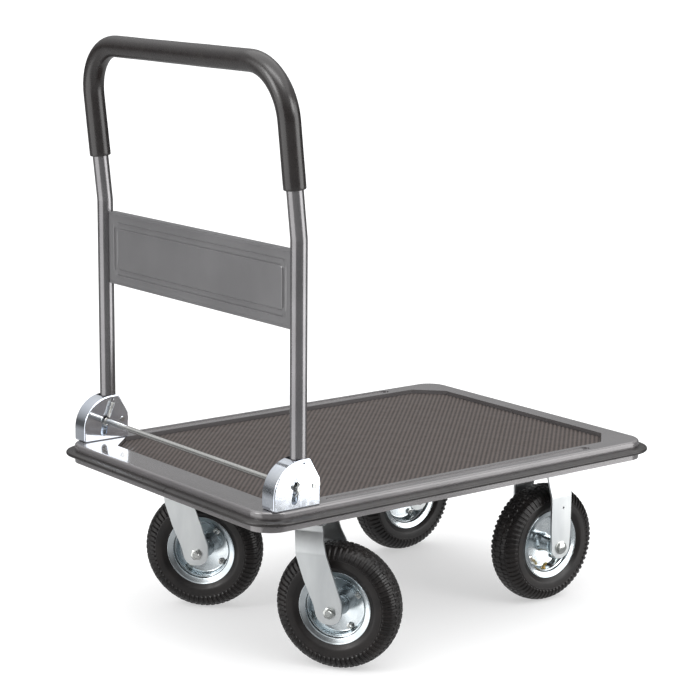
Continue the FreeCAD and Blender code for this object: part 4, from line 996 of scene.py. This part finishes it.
def make_spring(side, materials):
    """A tension spring with a hook at the bracket and a loop round the release rod."""
    sign = SIDES[side]
    rod = rod_middle()
    rod.y = sign * SPRING_Y
    hook = Vector((SPRING_TOP[0], sign * SPRING_Y, SPRING_TOP[1]))
    line = (hook - rod).normalized()
    loop_radius = 6.0
    coil_radius = 3.4
    hook_radius = 3.4
    sideways = Vector((0, 1, 0)).cross(line).normalized()
    front = line.cross(sideways)
    points = []
    for step in range(23):
        turn = 2 * math.pi * (step / 24) + math.pi / 2 + 0.26
        points.append(rod + (line * math.sin(turn) + sideways * math.cos(turn)) * loop_radius)
    start = rod + line * (loop_radius + 2.2)
    end = hook - line * 5.5
    turns = 11
    steps = turns * 14
    for step in range(steps + 1):
        share = step / steps
        turn = 2 * math.pi * turns * share
        centre = start.lerp(end, share)
        points.append(centre + (sideways * math.cos(turn) + front * math.sin(turn)) * coil_radius)
    points.append(end + line * 1.5 + sideways * 1.2)
    outward = Vector((0, sign, 0))
    for step in range(9):
        turn = math.pi * step / 8
        lift = line * (2.6 * math.sin(turn) - 1.8)
        points.append(hook + lift + outward * hook_radius * (1 - math.cos(turn)))
    wire = tube(f"spring_{side}", [point * MM for point in points], 0.6 * MM, materials["rod_zinc"], 8)
    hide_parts(f"rod_spring_{side}")
    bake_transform(wire)


def make_split_pins(materials):
    """Split pins through the rod's ends: an eye above, and two legs bent apart below."""
    rod = rod_middle()
    eye = 2.6
    eye_foot = 12.6
    pins = []
    for side, sign in SIDES.items():
        for leg in (-1, 1):
            outline = []
            for step in range(13):
                turn = math.pi * step / 12
                outline.append((2.4 * math.sin(turn), eye_foot + eye + eye * math.cos(turn)))
            outline += [(0.6, 9), (0.6, 0), (0.6, -8), (1.6, -10), (4.4, -12)]
            points = [Vector((rod.x + leg * away, sign * PIN_Y, rod.z + level)) * MM
                      for away, level in outline]
            pins.append(tube(f"pin_{side}_{leg}", points, 0.58 * MM, materials["bolt_zinc"], 10))
    piece = joined("split_pin_pair", pins)
    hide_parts("split_pins")
    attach(piece, "release")


def dress_cad_nodes(materials):
    """Give every CAD node that stays its material, and soft edges where it is folded sheet."""
    slots = {row["node"]: row["material_slot"] for row in frame["record"]["subparts"]}
    for node, piece in frame["nodes"].items():
        material = materials[slots[node]]
        piece.data.materials.clear()
        piece.data.materials.append(material)
        if any(word in node for word in ("fork", "bracket_l", "bracket_r", "plate")):
            edge = piece.modifiers.new("soft_edges", "BEVEL")
            edge.width = 0.7 * MM
            edge.segments = 2
            edge.limit_method = "ANGLE"
            edge.angle_limit = math.radians(40)
            edge.harden_normals = True


# ---- the scene -------------------------------------------------------------------------------------

set_view()
make_camera()
make_world()
make_floor()
make_backdrop()
for name, aside, height, distance, wide, tall, watts, shine_only in (
        ("shine_left", -64, 0.5, 3.0, 3.2, 3.2, 46, True),
        ("shine_right", 74, 0.76, 3.0, 2.3, 2.56, 52, True),
        ("shine_top", -20, 3.1, 1.6, 2.2, 0.7, 22, True),
        ("fill_left", -60, 1.8, 3.2, 1.2, 1.2, 25, False),
        ("fill_right", 50, 2.0, 3.2, 1.2, 1.2, 25, False)):
    soft_box(name, CAMERA_TURN[0] + aside, height, distance, wide, tall, watts, shine_only)
materials = make_materials()
dress_cad_nodes(materials)
tyre_mesh = make_tyre_mesh()
wheel_at = {name: make_wheel(name, materials, tyre_mesh) for name in WHEELS}
for side in SIDES:
    make_axle(f"swivel_{side}", wheel_at[f"swivel_{side}"], f"swivel_{side}", [f"axle_bolt_swivel_{side}"],
              [f"axle_nut_swivel_{side}"], materials)
make_axle("rigid_left", wheel_at["rigid_left"], "deck", ["axle_bolts_rigid"], ["axle_nuts_rigid"],
          materials)
make_axle("rigid_right", wheel_at["rigid_right"], "deck", [], [], materials)
make_bumper(materials)
make_mat(materials)
make_handle(materials)
make_grip(materials)
make_panel(materials)
for side in SIDES:
    make_spring(side, materials)
make_split_pins(materials)
